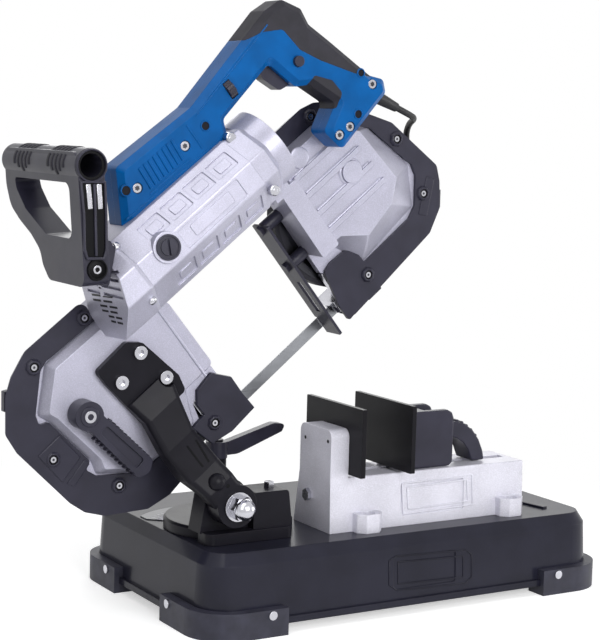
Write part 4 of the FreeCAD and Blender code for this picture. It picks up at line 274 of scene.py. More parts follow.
def steel(name, colour, roughness, stretch):
    """Ground or turned metal with fine marks along one way."""
    finish = Finish(name, colour, roughness, metallic=1.0)
    finish.mottle(finish.noise(scale=40, detail=3), dark=0.88, light=1.05)
    finish.edges(radius=0.0005, lighter=1.0)
    finish.worn(finish.noise(scale=220, detail=3, stretch=stretch), spread=0.08)
    finish.bump(finish.noise(scale=500, detail=2, stretch=stretch), strength=0.10, distance=0.00006)
    return finish.material


def enamel(name, colour, roughness):
    """Glossy enamel on pressed steel."""
    finish = Finish(name, colour, roughness, Coat_Weight=0.28, Coat_Roughness=0.14, Specular_IOR_Level=0.05)
    finish.mottle(finish.noise(scale=20, detail=4), dark=0.85, light=1.15)
    finish.edges(radius=0.0022, lighter=1.0)
    finish.worn(finish.noise(scale=30, detail=5), spread=0.05)
    finish.bump(finish.noise(scale=260, detail=2), strength=0.06, distance=0.00010)
    return finish.material


SILVER = paint("silver_paint", srgb(181, 180, 197), 0.32, metallic=0.30, grain=0.00006)
VISE_SILVER = paint("vise_paint", srgb(214, 213, 224), 0.38, metallic=0.20, grain=0.00010)
SCALE_GREY = paint("scale_paint", srgb(70, 70, 78), 0.35, metallic=0.2, grain=0.00004)
BLACK = plastic("black_plastic", srgb(45, 44, 57), 0.34, grain=0.00005)
CAST_BLACK = plastic("black_casting", srgb(23, 22, 29), 0.36, grain=0.00008, lighter=2.4, gloss=0.12)
PLATE_BLACK = plastic("black_plate", srgb(17, 16, 21), 0.34, grain=0.00003, lighter=2.4, gloss=0.14)
# Near-black for painted shade in hollows, holes, grooves and round screw heads
SHADE_BLACK = plastic("painted_shade_black", srgb(12, 12, 15), 0.45, grain=0.00004, lighter=1.0, gloss=0.10)
BLUE = plastic("blue_plastic", srgb(0, 84, 150), 0.32, grain=0.00004, lighter=1.3, gloss=0.14)
RUBBER = rubber("soft_rubber", srgb(34, 33, 41), 0.60)
FOOT_RUBBER = rubber("foot_rubber", srgb(48, 48, 60), 0.50)
CORD_RUBBER = rubber("cord_rubber", srgb(24, 24, 27), 0.50)
CHROME = steel("bright_steel", srgb(196, 196, 203), 0.18, stretch=(1, 1, 6))
BLADE_STEEL = steel("blade_steel", srgb(150, 152, 157), 0.30, stretch=(0.1, 1, 1))
DARK_STEEL = steel("dark_steel", srgb(70, 70, 75), 0.34, stretch=(1, 1, 4))
COPPER = steel("copper_wire", srgb(196, 120, 76), 0.32, stretch=(6, 1, 1))
ENAMEL = enamel("black_enamel", srgb(34, 34, 46), 0.32)
LOOKS = {
    ENAMEL: "base_pan",
    RUBBER: "grip_overmould idler_tyre drive_tyre",
    FOOT_RUBBER: "rubber_feet",
    SILVER: "main_frame gear_case motor_housing motor_end_cap",
    VISE_SILVER: "vise_body",
    BLACK: "idler_guard drive_guard lower_guide_cover front_handle brush_cap work_stop switch_unit trigger"
    " speed_dial lock_button tension_lever moving_jaw_block clamp_lever miter_lock_lever",
    CAST_BLACK: "arm_bracket turret idler_carriage tension_cam",
    PLATE_BLACK: "fixed_jaw_plate moving_jaw_plate",
    BLUE: "handle_front handle_back",
    CHROME: "guide_block_lower guide_block_upper housing_screws stand_screws pivot_bolt pivot_nut vise_bolts"
    " cap_screws clamp_pin handle_pins swivel_pin stop_screw drive_shaft"
    " roller_lower_front roller_lower_rear roller_upper_front roller_upper_rear",
    DARK_STEEL: "idler_wheel drive_wheel armature",
    BLADE_STEEL: "blade",
    SCALE_GREY: "degree_scale",
    COPPER: "stator",
    CORD_RUBBER: "strain_relief cord cord_coil cord_tie plug",
}
for material, names in LOOKS.items():
    for name in names.split():
        if name in nodes:
            nodes[name].data.materials.clear()
            nodes[name].data.materials.append(material)


# Floor, backdrop and light
WHITE = (1, 1, 1, 1)
FLOOR_GREY = (0.92, 0.92, 0.92, 1)
FLOOR_EDGE = 6.0
FLOOR_LIFT = 0.5
FADE_START = 0.35
FADE_END = 0.75
GLOW = 0.22
BACKDROP = 1.0


def seen_directly(tree):
    """One for rays from the camera, off a mirror or through glass, nought for the light on the object."""
    path = tree.nodes.new("ShaderNodeLightPath").outputs
    seen = combined(tree, "MAXIMUM", path["Is Camera Ray"], path["Is Glossy Ray"])
    return combined(tree, "MAXIMUM", seen, path["Is Transmission Ray"])


def mixed(tree, share, first, second):
    """Two shaders mixed, the second with the given share."""
    mix = tree.nodes.new("ShaderNodeMixShader")
    tree.links.new(share, mix.inputs["Fac"])
    tree.links.new(first, mix.inputs[1])
    tree.links.new(second, mix.inputs[2])
    return mix.outputs[0]


def floor_material():
    """Pale floor that keeps the shadow near the object and fades to the white of the backdrop."""
    finish = Finish("pale_floor", FLOOR_GREY, 0.9)
    finish.mottle(finish.noise(scale=3, detail=2), dark=0.99, light=1.0)
    tree = finish.material.node_tree
    seen = seen_directly(tree)
    lift = tree.nodes.new("ShaderNodeMath")
    lift.operation = "MULTIPLY"
    lift.inputs[1].default_value = FLOOR_LIFT
    tree.links.new(seen, lift.inputs[0])
    finish.shader.inputs["Emission Color"].default_value = WHITE
    tree.links.new(lift.outputs[0], finish.shader.inputs["Emission Strength"])
    away = tree.nodes.new("ShaderNodeVectorMath")
    away.operation = "LENGTH"
    tree.links.new(finish.place, away.inputs[0])
    fade = tree.nodes.new("ShaderNodeMapRange")
    fade.interpolation_type = "SMOOTHSTEP"
    fade.inputs["From Min"].default_value = FADE_START
    fade.inputs["From Max"].default_value = FADE_END
    tree.links.new(away.outputs["Value"], fade.inputs["Value"])
    share = combined(tree, "MULTIPLY", fade.outputs["Result"], seen)
    white = tree.nodes.new("ShaderNodeEmission")
    white.inputs["Color"].default_value = WHITE
    surface = mixed(tree, share, finish.shader.outputs["BSDF"], white.outputs[0])
    tree.links.new(surface, tree.nodes["Material Output"].inputs["Surface"])
    return finish.material


def light_all_round(tree, strength):
    """White light of the given strength from every side."""
    light = tree.nodes.new("ShaderNodeBackground")
    light.inputs["Color"].default_value = WHITE
    light.inputs["Strength"].default_value = strength
    return light.outputs[0]


def studio():
    """White world: bright where it is seen, and weaker as light on the object."""
    world = bpy.data.worlds.new("studio")
    world.use_nodes = True
    tree = world.node_tree
    tree.nodes.clear()
    weak, bright = light_all_round(tree, GLOW), light_all_round(tree, BACKDROP)
    output = tree.nodes.new("ShaderNodeOutputWorld")
    tree.links.new(mixed(tree, seen_directly(tree), weak, bright), output.inputs["Surface"])
    return world


corners = [(x * FLOOR_EDGE, y * FLOOR_EDGE, 0) for x, y in ((-1, -1), (1, -1), (1, 1), (-1, 1))]
ground = bpy.data.meshes.new("floor")
ground.from_pydata(corners, [], [(0, 1, 2, 3)])
floor = bpy.data.objects.new("floor", ground)
scene.collection.objects.link(floor)
floor.data.materials.append(floor_material())
scene.world = studio()


def lamp(name, place, target, size, power):
    """Area light of the given size in metres and power in watts, turned to the target."""
    data = bpy.data.lights.new(name, "AREA")
    data.shape = "RECTANGLE"
    data.size, data.size_y = size
    data.energy = power
    light = bpy.data.objects.new(name, data)
    light.location = place
    light.rotation_euler = (Vector(target) - Vector(place)).to_track_quat("-Z", "Y").to_euler()
    scene.collection.objects.link(light)


MIDDLE = (0, 0, 0.3)
lamp("key_light", (-0.1, -2.6, 1.1), MIDDLE, (1.4, 1.4), 46)
lamp("fill_light", (-2.0, -1.2, 1.3), MIDDLE, (1.2, 1.6), 8)
lamp("top_light", (-1.0, -0.5, 2.4), MIDDLE, (1.6, 1.4), 14)
lamp("back_light", (1.2, 2.0, 1.4), MIDDLE, (1.6, 1.2), 14)
lamp("side_light", (2.2, -1.0, 0.4), MIDDLE, (1.0, 0.8), 14)


# Mains lead: out of the strain relief, round behind the drive guard and into its tied coil
CORD_D = 7.0
RELIEF_AT = Vector((246.0, -62.0, 188.0))
RELIEF_DIR = Vector((0.52, 0.26, -0.81)).normalized()
RELIEF_L = 52.0
RELIEF_RUN = 24.5
STEP = 8.2
COIL_R = 40.0
COIL_U = 240.0
COIL_V = 40.0
COIL_Y = 21.8
COIL_LEAD_IN = 19.0
COIL_TAIL = 36.0
TAIL_START = 2.0
HALF_TURNS = 7
CLIMB_SHARE = 0.375
POINTS_PER_HALF = 6
SPLINE_PULL = 1 / (0.75 + 0.25 * math.cos(math.pi / POINTS_PER_HALF))
relief_end = RELIEF_AT + RELIEF_DIR * RELIEF_L
coil_out = COIL_R + STEP * HALF_TURNS / 4
coil_start = Vector((COIL_U + coil_out, COIL_Y, COIL_V))


def half_turn(start, finish, heading):
    """Control points of half a turn of the coil, from one side of it to the other."""
    middle = (start + finish) / 2
    reach = (finish - start).length / 2 * SPLINE_PULL
    across = Vector((start.x - finish.x, 0, 0)).normalized()
    made = []
    for k in range(1, POINTS_PER_HALF + 1):
        share = (k - 0.5) / POINTS_PER_HALF
        turn = math.pi * share
        point = middle + across * (reach * math.cos(turn)) + Vector((0, 0, heading * reach * math.sin(turn)))
        point.y = start.y + (finish.y - start.y) * share
        made.append(point)
    return made


def coil(start):
    """Control points of the coil: inwards in one layer, a step across, outwards in the other, and a tail."""
    inward = [coil_out - STEP / 4 - k * STEP / 2 for k in range(HALF_TURNS)]
    climb = inward[-1] - CLIMB_SHARE * STEP
    outward = [climb + STEP / 2 + k * STEP / 2 for k in range(HALF_TURNS)]
    points = []
    here = start
    way = -1
    for k, radius in enumerate(inward + [climb] + outward):
        step_across = STEP if k == HALF_TURNS else 0
        there = here + Vector((2 * way * radius, step_across, 0))
        points += half_turn(here, there, way)
        here = there
        way = -way
    return points + [here + Vector((0, 0, height)) for height in (TAIL_START, COIL_TAIL / 2, COIL_TAIL)]


route = [
    relief_end,
    relief_end + RELIEF_DIR * RELIEF_RUN,
    Vector((298.5, -25.0, 110.5)),
    Vector((301.0, -1.5, 101.0)),
    Vector((298.0, 14.5, 86.0)),
    coil_start + Vector((0, 0, CORD_D + COIL_LEAD_IN)),
    coil_start + Vector((0, 0, CORD_D)),
] + coil(coil_start)
line = bpy.data.curves.new("lead", "CURVE")
line.dimensions = "3D"
line.bevel_depth = CORD_D / 2 * MM
line.bevel_resolution = 5
line.use_fill_caps = True
spline = line.splines.new("NURBS")
spline.points.add(len(route) - 1)
for point, place in zip(spline.points, route):
    point.co = (*saw(*place), 1)
spline.order_u = 3
spline.use_endpoint_u = True
spline.resolution_u = 6
lead = bpy.data.objects.new("lead", line)
scene.collection.objects.link(lead)
line.materials.append(CORD_RUBBER)
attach(lead, "saw")
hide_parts("cord", "cord_coil")

# Small pieces in mesh code, with lengths in millimetres
SMOOTH_ANGLE = math.radians(38)
ROUND_ANGLE = math.radians(34)
ROUND_STEPS = 2
STAR_POINTS = 6


def finished(name, bm, body, material, rounding=0.0):
    """Turn a mesh in the making into a piece that rides on a body."""
    bmesh.ops.recalc_face_normals(bm, faces=bm.faces)
    mesh = bpy.data.meshes.new(name)
    bm.to_mesh(mesh)
    bm.free()
    mesh.materials.append(material)
    made = bpy.data.objects.new(name, mesh)
    scene.collection.objects.link(made)
    for face in mesh.polygons:
        face.use_smooth = True
    mesh.set_sharp_from_angle(angle=SMOOTH_ANGLE)
    if rounding:
        soft = made.modifiers.new("rounding", "BEVEL")
        soft.width = rounding * MM
        soft.segments = ROUND_STEPS
        soft.limit_method = "ANGLE"
        soft.angle_limit = ROUND_ANGLE
    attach(made, body)
    return made


def around(place, middle):
    """The same place, counted from another middle point."""
    a0, y0, b0 = middle
    return lambda a, y, b: place(a0 + a, y0 + y, b0 + b)


def turned_frame(origin, outward, sideways):
    """Place with its depth along the outward direction and its first axis as near sideways as it can be."""
    out = Vector(outward).normalized()
    first = (Vector(sideways) - out * out.dot(Vector(sideways))).normalized()
    second = first.cross(out)
    return lambda a, y, b: origin + (first * a + out * y + second * b) * MM


def bridge(bm, one, two):
    """Faces between two closed rows of corners."""
    for k in range(len(one)):
        bm.faces.new((one[k - 1], one[k], two[k], two[k - 1]))


def capped(bm, rows):
    """Solid through rows of corners, with flat ends."""
    bm.faces.new(rows[0])
    bm.faces.new(rows[-1][::-1])
    for one, two in zip(rows, rows[1:]):
        bridge(bm, one, two)


def plate(bm, place, outline, low, high, drawn_in=0.0):
    """Plate over an outline, whose far side may be drawn in all round."""
    count = len(outline)
    area = sum(outline[k - 1][0] * outline[k][1] - outline[k][0] * outline[k - 1][1] for k in range(count))
    way = 1 if area > 0 else -1
    upper = []
    for k in range(count):
        before, here, after = Vector(outline[k - 1]), Vector(outline[k]), Vector(outline[(k + 1) % count])
        one, two = (here - before).normalized(), (after - here).normalized()
        inward = Vector((-(one + two).y, (one + two).x)).normalized() * way
        upper.append(here + inward * (drawn_in / max(inward.dot(Vector((-one.y, one.x)) * way), 0.4)))
    first = [bm.verts.new(place(a, low, b)) for a, b in outline]
    last = [bm.verts.new(place(p.x, high, p.y)) for p in upper]
    capped(bm, [first, last])


def bar(bm, place, start, finish, half_width, low, high, drawn_in=0.0):
    """Straight rib from one point to another, both given by their two flat values."""
    one, two = Vector(start), Vector(finish)
    along = (two - one).normalized()
    across = Vector((-along.y, along.x)) * half_width
    plate(bm, place, [tuple(one - across), tuple(two - across), tuple(two + across), tuple(one + across)],
          low, high, drawn_in)


def turned_rows(bm, place, profile, sides, lobes):
    """Rows of corners round the depth axis, one for each radius and depth of the profile."""
    rows = []
    for radius, depth in profile:
        row = []
        for k in range(sides):
            turn = 2 * math.pi * (k + 0.5) / sides
            reach = radius * (1 + lobes * math.cos(STAR_POINTS * turn))
            row.append(bm.verts.new(place(reach * math.cos(turn), depth, reach * math.sin(turn))))
        rows.append(row)
    return rows


def ring(bm, place, profile, sides=24):
    """Closed ring swept round the depth axis; the profile is radius and depth."""
    rows = turned_rows(bm, place, profile, sides, 0.0)
    for k in range(len(rows)):
        bridge(bm, rows[k - 1], rows[k])


def knob(bm, place, profile, sides=24, lobes=0.0):
    """Turned solid with flat ends; the profile is radius and depth, and lobes make it star-like."""
    capped(bm, turned_rows(bm, place, profile, sides, lobes))


def collar(bore, crest, foot, low, high):
    """Profile of a ring with a straight bore, whose outside runs from its foot in to its crest."""
    return [(bore, low), (bore, high), (crest, high), (foot, low)]


def disc(radius, low, high):
    """Profile of a straight turned solid."""
    return [(radius, low), (radius, high)]


# Screws: star recesses in the heads drawn as dark stars of painted shade, and raised bosses round those on
# the guards, with a dark ring of painted shade between head and boss
GUARD_FACE = -26.0
GUARD_HEAD = -27.8
HANDLE_FACE = -92.0
HANDLE_HEAD = -91.0
GUARD_SCREWS = [(-134.8, 198.0), (-205.4, 195.0), (-248.0, 109.0), (-212.6, 38.2), (192.8, 195.0),
                (265.0, 108.5), (256.9, 38.7), (-92.2, 14.0), (147.0, 14.0)]
HANDLE_SCREWS = [(33.0, 284.0), (-32.0, 284.0), (179.0, 183.0), (194.0, 182.0), (242.0, 200.0)]
BOSS = collar(bore=5.1, crest=6.9, foot=9.0, low=GUARD_FACE, high=GUARD_FACE - 2.9)
BOSS_SIDES = 8
# Dark ring of painted shade in the gap between a guard screw's head and its boss
SHADE_RING = collar(bore=3.1, crest=5.0, foot=5.0, low=GUARD_HEAD + 0.3, high=GUARD_HEAD - 0.2)
GUARD_STAR_R = 1.3
HANDLE_STAR_R = 2.3
STAR_H = 0.15
STAR_SIDES = 36
STAR_LOBES = 0.16


def star(bm, here, radius, head):
    """Star recess, drawn as a thin dark star of painted shade on a screw's head."""
    knob(bm, here, disc(radius, head, head - STAR_H), STAR_SIDES, STAR_LOBES)


bosses = bmesh.new()
shade_rings = bmesh.new()
recess_shades = bmesh.new()
for u, v in GUARD_SCREWS:
    here = around(saw, (u, 0, v))
    ring(bosses, here, BOSS, BOSS_SIDES)
    ring(shade_rings, here, SHADE_RING)
    star(recess_shades, here, GUARD_STAR_R, GUARD_HEAD)
for u, v in HANDLE_SCREWS:
    star(recess_shades, around(saw, (u, 0, v)), HANDLE_STAR_R, HANDLE_HEAD)
finished("screw_bosses", bosses, "saw", BLACK, 0.5)
# Painted shade: dark rings round the guard screws' heads, and dark stars for the recesses
finished("screw_shade_rings", shade_rings, "saw", SHADE_BLACK)
finished("screw_recess_shades", recess_shades, "saw", DARK_STEEL)

# Guards: raised pad and its step on the idler side, and a step on the drive side
IDLER_PAD = [(-258.0, 123.0), (-227.5, 124.0), (-224.5, 90.0), (-255.5, 83.5)]
IDLER_STEP = [(-253.0, 79.5), (-223.5, 86.0), (-222.0, 78.0), (-249.0, 71.0)]
DRIVE_STEP = [(238.0, 24.0), (272.0, 51.0), (279.0, 42.0), (246.0, 15.0)]
PAD_H = 1.3
STEP_H = 0.9
steps = bmesh.new()
plate(steps, saw, IDLER_PAD, GUARD_FACE, GUARD_FACE - PAD_H, drawn_in=0.9)
for outline in (IDLER_STEP, DRIVE_STEP):
    plate(steps, saw, outline, GUARD_FACE, GUARD_FACE - STEP_H, drawn_in=0.6)
finished("guard_steps", steps, "saw", BLACK, 0.4)

# Handle: vent ribs, the lines of their frame and of the seams, and moulded holes, whose insides are dark
# discs of painted shade
VENTS = 8
VENT_FIRST = -20.5
VENT_PITCH = 6.2
VENT_TOP = (1.5, 298.5)
VENT_FOOT = (-0.5, 274.5)
VENT_HALF = 1.8
VENT_H = 1.5
HANDLE_SUNK = 0.3
# Start, finish, half width, height and taper of each line
HANDLE_LINES = [
    ((-26.0, 271.2), (29.0, 271.2), 1.2, 0.9, 0.4),
    ((-60.0, 268.0), (72.0, 266.0), 0.9, 0.7, 0.3),
    ((46.0, 271.0), (46.0, 299.0), 1.0, 0.8, 0.3),
    ((60.0, 300.0), (178.0, 322.0), 0.9, 0.7, 0.3),
]
HANDLE_HOLES = [(-43.0, 290.0, 4.6), (62.0, 286.0, 4.2), (209.0, 186.5, 4.2), (237.0, 218.0, 3.6)]
HOLE_SIDES = 28
HOLE_RIM_W = 0.9
HOLE_RIM_FOOT = 1.5
HOLE_RIM_H = 0.8
HOLE_GAP = 0.02
HOLE_SUNK = 0.2
HOLE_H = 0.12
vents = bmesh.new()
for k in range(VENTS):
    u = VENT_FIRST + k * VENT_PITCH
    bar(vents, saw, (u + VENT_TOP[0], VENT_TOP[1]), (u + VENT_FOOT[0], VENT_FOOT[1]), VENT_HALF,
        HANDLE_FACE + HANDLE_SUNK, HANDLE_FACE - VENT_H, drawn_in=0.7)
for start, finish, half_width, height, taper in HANDLE_LINES:
    bar(vents, saw, start, finish, half_width, HANDLE_FACE + HANDLE_SUNK, HANDLE_FACE - height, taper)
finished("handle_vents", vents, "saw", BLUE, 0.4)
rims = bmesh.new()
well_shades = bmesh.new()
for u, v, radius in HANDLE_HOLES:
    here = around(saw, (u, 0, v))
    ring(rims, here, collar(radius, radius + HOLE_RIM_W, radius + HOLE_RIM_FOOT,
                            HANDLE_FACE + HOLE_SUNK, HANDLE_FACE - HOLE_RIM_H), HOLE_SIDES)
    # Dark disc of painted shade inside each hole's rim
    knob(well_shades, here, disc(radius - HOLE_GAP, HANDLE_FACE + HOLE_SUNK, HANDLE_FACE - HOLE_H), HOLE_SIDES)
finished("handle_hole_rims", rims, "saw", BLUE)
finished("handle_hole_shades", well_shades, "saw", CAST_BLACK)

# Gear case: rounded caps on the ribs, a round boss beside the handle's foot and a raised rim on the bar
CASE_FACE = -48.0
CASE_SUNK = 0.2
DRIVE_U = 168.0
WHEEL_R = 82.5
RIB_ROWS = (0.14, 0.42, 0.70, 0.98)
RIB_LEFT = 0.47
RIB_RIGHT = 0.57
RIB_SHORTENS = 0.10
RIB_HALF = 5.0
RIB_CAP_H = 1.4
CASE_BOSS_AT = (146.0, 0.0, 178.0)
CASE_BOSS = [(11.5, CASE_FACE + 1.0), (11.5, CASE_FACE - 1.6), (10.4, CASE_FACE - 2.4)]
CASE_RIM_AT = (187.0, 0.0, 126.2)
CASE_RIM = [(12.4, CASE_FACE + CASE_SUNK), (12.4, CASE_FACE - 2.0), (14.6, CASE_FACE - 1.2),
            (15.6, CASE_FACE + CASE_SUNK)]
caps = bmesh.new()
for row in RIB_ROWS:
    v = WHEEL_R + row * WHEEL_R
    left = DRIVE_U - RIB_LEFT * WHEEL_R
    right_end = DRIVE_U + (RIB_RIGHT - RIB_SHORTENS * row) * WHEEL_R
    bar(caps, saw, (left, v), (right_end, v), RIB_HALF, CASE_FACE + CASE_SUNK, CASE_FACE - RIB_CAP_H,
        drawn_in=2.4)
knob(caps, around(saw, CASE_BOSS_AT), CASE_BOSS, 36)
ring(caps, around(saw, CASE_RIM_AT), CASE_RIM, 40)
finished("case_relief", caps, "saw", SILVER, 0.6)

# Spine: raised line where the plateau ends towards the throat
PLATEAU_FACE = -36.0
LEDGE = ((-71.0, 160.0), (-72.5, 64.0))
LEDGE_HALF = 1.8
ledge = bmesh.new()
bar(ledge, saw, *LEDGE, LEDGE_HALF, PLATEAU_FACE + 0.2, PLATEAU_FACE - 1.6, drawn_in=0.8)
finished("spine_ledge", ledge, "saw", SILVER, 0.4)

# Motor: bright bolts at the nose and the bell
MOTOR_BOLTS = [
    (saw(-76.0, -70.0, 176.0), -DEPTH * 0.8 - SQUARE * 0.6),
    (saw(74.0, -97.0, 262.0), -DEPTH),
    (saw(71.0, -122.0, 200.0), -DEPTH),
]
MOTOR_BOLT_HEAD = [(5.6, -4.0), (5.6, 3.4), (4.8, 4.4)]
MOTOR_BOLT_HEX = disc(2.5, 4.35, 4.5)
bolts = bmesh.new()
for place_at, outward in MOTOR_BOLTS:
    here = turned_frame(place_at, outward, ALONG)
    knob(bolts, here, MOTOR_BOLT_HEAD, 28)
    knob(bolts, here, MOTOR_BOLT_HEX, 6)
finished("motor_bolts", bolts, "saw", CHROME, 0.3)

# Front handle: raised grip bands in two groups on the tube
GRIP_U = -72.0
GRIP_V = 346.0
GRIP_R = 16.0
BAND_GROUPS = (-92.0, -8.0)
BANDS = 5
BAND_FIRST = -20.0
BAND_PITCH = 9.0
BAND_SPREAD = 88.0
BAND_NARROWS = 13.0
BAND_STEPS = 18
BAND_SECTION = [(-0.3, -2.6), (0.9, -1.6), (0.9, 1.6), (-0.3, 2.6)]


def grip_band(bm, y, spread):
    """Band over the top of the grip at one depth, as far round on both sides as the angle says."""
    rows = []
    for k in range(BAND_STEPS + 1):
        turn = math.pi / 2 + spread * (2 * k / BAND_STEPS - 1)
        row = []
        for height, offset in BAND_SECTION:
            radius = GRIP_R + height
            row.append(saw(GRIP_U + radius * math.cos(turn), y + offset, GRIP_V + radius * math.sin(turn)))
        rows.append([bm.verts.new(point) for point in row])
    capped(bm, rows)


bands = bmesh.new()
for group_y in BAND_GROUPS:
    for k in range(BANDS):
        spread = BAND_SPREAD - abs(k - BANDS // 2) * BAND_NARROWS
        grip_band(bands, group_y + BAND_FIRST + k * BAND_PITCH, math.radians(spread))
finished("grip_bands", bands, "saw", RUBBER)

# Stand: ticks on the degree scale
SCALE_TOP = 85.0
SCALE_AT = Vector((-165.0, -30.0))
SCALE_ZERO = 78.0
TICKS = range(-4, 60)
TICK_INNER = 70.5
TICK_OUTER = 79.0
LONG_TICK_OUTER = 86.0
LONG_TICK_EVERY = 5
TICK_HALF = 0.35
ticks = bmesh.new()
for degree in TICKS:
    turn = math.radians(SCALE_ZERO + degree)
    outer = LONG_TICK_OUTER if degree % LONG_TICK_EVERY == 0 else TICK_OUTER
    ray = Vector((math.cos(turn), math.sin(turn)))
    bar(ticks, lambda a, y, b: stand(a, b, y), SCALE_AT + ray * TICK_INNER, SCALE_AT + ray * outer, TICK_HALF,
        SCALE_TOP - 0.1, SCALE_TOP + 0.12)
finished("scale_ticks", ticks, "stand", VISE_SILVER)

# Fine lines and holes laid on the solids' own surfaces, found along the photograph's rays
SUNK = -0.3
MARK_H = 0.12


def skin(*names):
    """Search tree over the surfaces of some nodes."""
    points = []
    faces = []
    for name in names:
        mesh = nodes[name].data
        start = len(points)
        points += [vertex.co.copy() for vertex in mesh.vertices]
        faces += [[start + k for k in face.vertices] for face in mesh.polygons]
    return BVHTree.FromPolygons(points, faces)


def ray_through(px, py):
    """Direction from the camera through a picture point."""
    return look * FOCAL_PX + side * (px - IMAGE_WIDTH / 2) - crown * (py - IMAGE_HEIGHT / 2)


def spot(tree, px, py):
    """Point and outward direction where the ray through a picture point meets the surface."""
    ray = ray_through(px, py).normalized()
    point, normal, _, _ = tree.ray_cast(EYE, ray)
    if normal.dot(ray) > 0:
        normal = -normal
    return point, normal


def straight_bar(bm, one, two, out, half_width, low, high):
    """Bar between two points, with its height along the outward direction."""
    across = out.cross(two - one).normalized() * (half_width * MM)
    edge = (one - across, two - across, two + across, one + across)
    capped(bm, [[bm.verts.new(point + out * (height * MM)) for point in edge] for height in (low, high)])


def strip(bm, tree, start, finish, half_width, low, high):
    """Narrow bar on the surface from one picture point to another."""
    one, lift_one = spot(tree, *start)
    two, lift_two = spot(tree, *finish)
    straight_bar(bm, one, two, (lift_one + lift_two).normalized(), half_width, low, high)


def border(bm, tree, outline, half_width, high):
    """Closed line of strips along an outline of picture points."""
    for k in range(len(outline)):
        strip(bm, tree, outline[k - 1], outline[k], half_width, SUNK, high)


def dot(bm, tree, at, profile, sides=24):
    """Turned detail standing on the surface at a picture point."""
    point, out = spot(tree, *at)
    knob(bm, turned_frame(point, out, crown), profile, sides)


# Motor bell: rows of cooling slits on its end, drawn as dark strips of painted shade
SLIT_ROWS = 6
SLIT_LEFT_PX = Vector((88.0, 294.0))
SLIT_LEFT_STEP_PX = Vector((4.6, 5.4))
SLIT_RIGHT_PX = Vector((115.0, 297.5))
SLIT_RIGHT_STEP_PX = Vector((2.2, 5.4))
# Shares of the row that the slits take up, in even and in odd rows
SLIT_SPANS = (((0.14, 0.46), (0.56, 0.908)), ((0.02, 0.34), (0.44, 0.80)))
SLIT_HALF = 1.1
bell = skin("motor_end_cap", "motor_housing")
slit_shades = bmesh.new()
for row in range(SLIT_ROWS):
    left_px = SLIT_LEFT_PX + SLIT_LEFT_STEP_PX * row
    right_px = SLIT_RIGHT_PX + SLIT_RIGHT_STEP_PX * row
    for first, last in SLIT_SPANS[row % 2]:
        start, finish = left_px.lerp(right_px, first), left_px.lerp(right_px, last)
        strip(slit_shades, bell, start, finish, SLIT_HALF, SUNK, MARK_H)
# Slits drawn as dark strips of painted shade
finished("bell_slit_shades", slit_shades, "saw", CAST_BLACK)

# Vise: two small holes in the upright's end, drawn as dark discs of painted shade, and the double border of
# the blank panel
VISE_HOLES_PX = ((305.5, 437.0), (328.0, 441.5))
VISE_HOLE = disc(1.9, SUNK, MARK_H)
PANEL_PX = [(402.0, 483.5), (472.0, 474.5), (472.5, 504.5), (403.0, 514.0)]
INNER_PANEL_PX = [(407.0, 487.5), (467.0, 479.5), (467.5, 501.0), (408.0, 509.0)]
PANEL_LINE_HALF = 0.8
PANEL_LINE_H = 0.9
vise = skin("vise_body")
hole_shades = bmesh.new()
for at in VISE_HOLES_PX:
    # Dark disc of painted shade where each hole is
    dot(hole_shades, vise, at, VISE_HOLE)
finished("vise_hole_shades", hole_shades, "stand", CAST_BLACK)
panel_lines = bmesh.new()
for outline in (PANEL_PX, INNER_PANEL_PX):
    border(panel_lines, vise, outline, PANEL_LINE_HALF, PANEL_LINE_H)
finished("vise_border", panel_lines, "stand", VISE_SILVER, 0.3)

# Base: double border of the blank front plate and the small ridge on the top
OCTAGON_PX = [(389.0, 561.0), (396.0, 556.0), (466.0, 550.0), (471.5, 554.5), (471.5, 577.0), (465.0, 583.0),
              (397.0, 590.5), (389.0, 585.0)]
OBLONG_PX = [(398.0, 562.0), (463.0, 556.0), (463.0, 577.0), (398.0, 584.0)]
BASE_LINE_HALF = 0.7
BASE_LINE_H = 0.7
RIDGE_PX = ((522.0, 503.0), (545.0, 508.5))
RIDGE_HALF = 3.2
RIDGE_SUNK = -0.5
RIDGE_H = 2.2
pan = skin("base_pan")
base_lines = bmesh.new()
for outline in (OCTAGON_PX, OBLONG_PX):
    border(base_lines, pan, outline, BASE_LINE_HALF, BASE_LINE_H)
strip(base_lines, pan, *RIDGE_PX, RIDGE_HALF, RIDGE_SUNK, RIDGE_H)
finished("base_borders", base_lines, "stand", ENAMEL, 0.3)

# Vise: cheeks on both sides of the jaw block, and the long curved clamp lever between them
CHEEK_Y = ((-98.7, -89.5), (-58.5, -49.3))
BLOCK_LOW = 142.4
BLOCK_HIGH = 204.2
CHEEK = [(8.0, BLOCK_LOW), (70.0, BLOCK_LOW), (74.5, BLOCK_LOW + 4.0), (74.5, BLOCK_HIGH - 9.0),
         (72.0, BLOCK_HIGH - 3.0), (66.0, BLOCK_HIGH), (14.0, BLOCK_HIGH), (9.0, BLOCK_HIGH - 4.0),
         (8.0, BLOCK_HIGH - 9.0)]
LEVER_Y = (-88.9, -59.1)
LEVER_MIDDLE = sum(LEVER_Y) / 2
LEVER_LINE = [(51.0, 187.4), (66.0, 187.5), (74.0, 188.0), (85.0, 188.4), (97.0, 185.2), (108.0, 177.4),
              (116.5, 166.5), (122.0, 154.5), (124.5, 144.6), (122.5, 143.2), (108.0, 143.2), (106.5, 146.5),
              (102.5, 156.0), (96.0, 164.0), (87.0, 169.8), (76.0, 172.6), (64.0, 174.0), (51.0, 174.6)]
LEVER_PIN = (51.0, 0.0, 182.3)
LEVER_HUB_R = 7.9
LEVER_RIBS = [(88.0, 188.0), (94.2, 185.8), (100.4, 182.0), (106.6, 177.0), (112.8, 170.6)]
LEVER_RIB = disc(2.2, -13.5, 13.5)
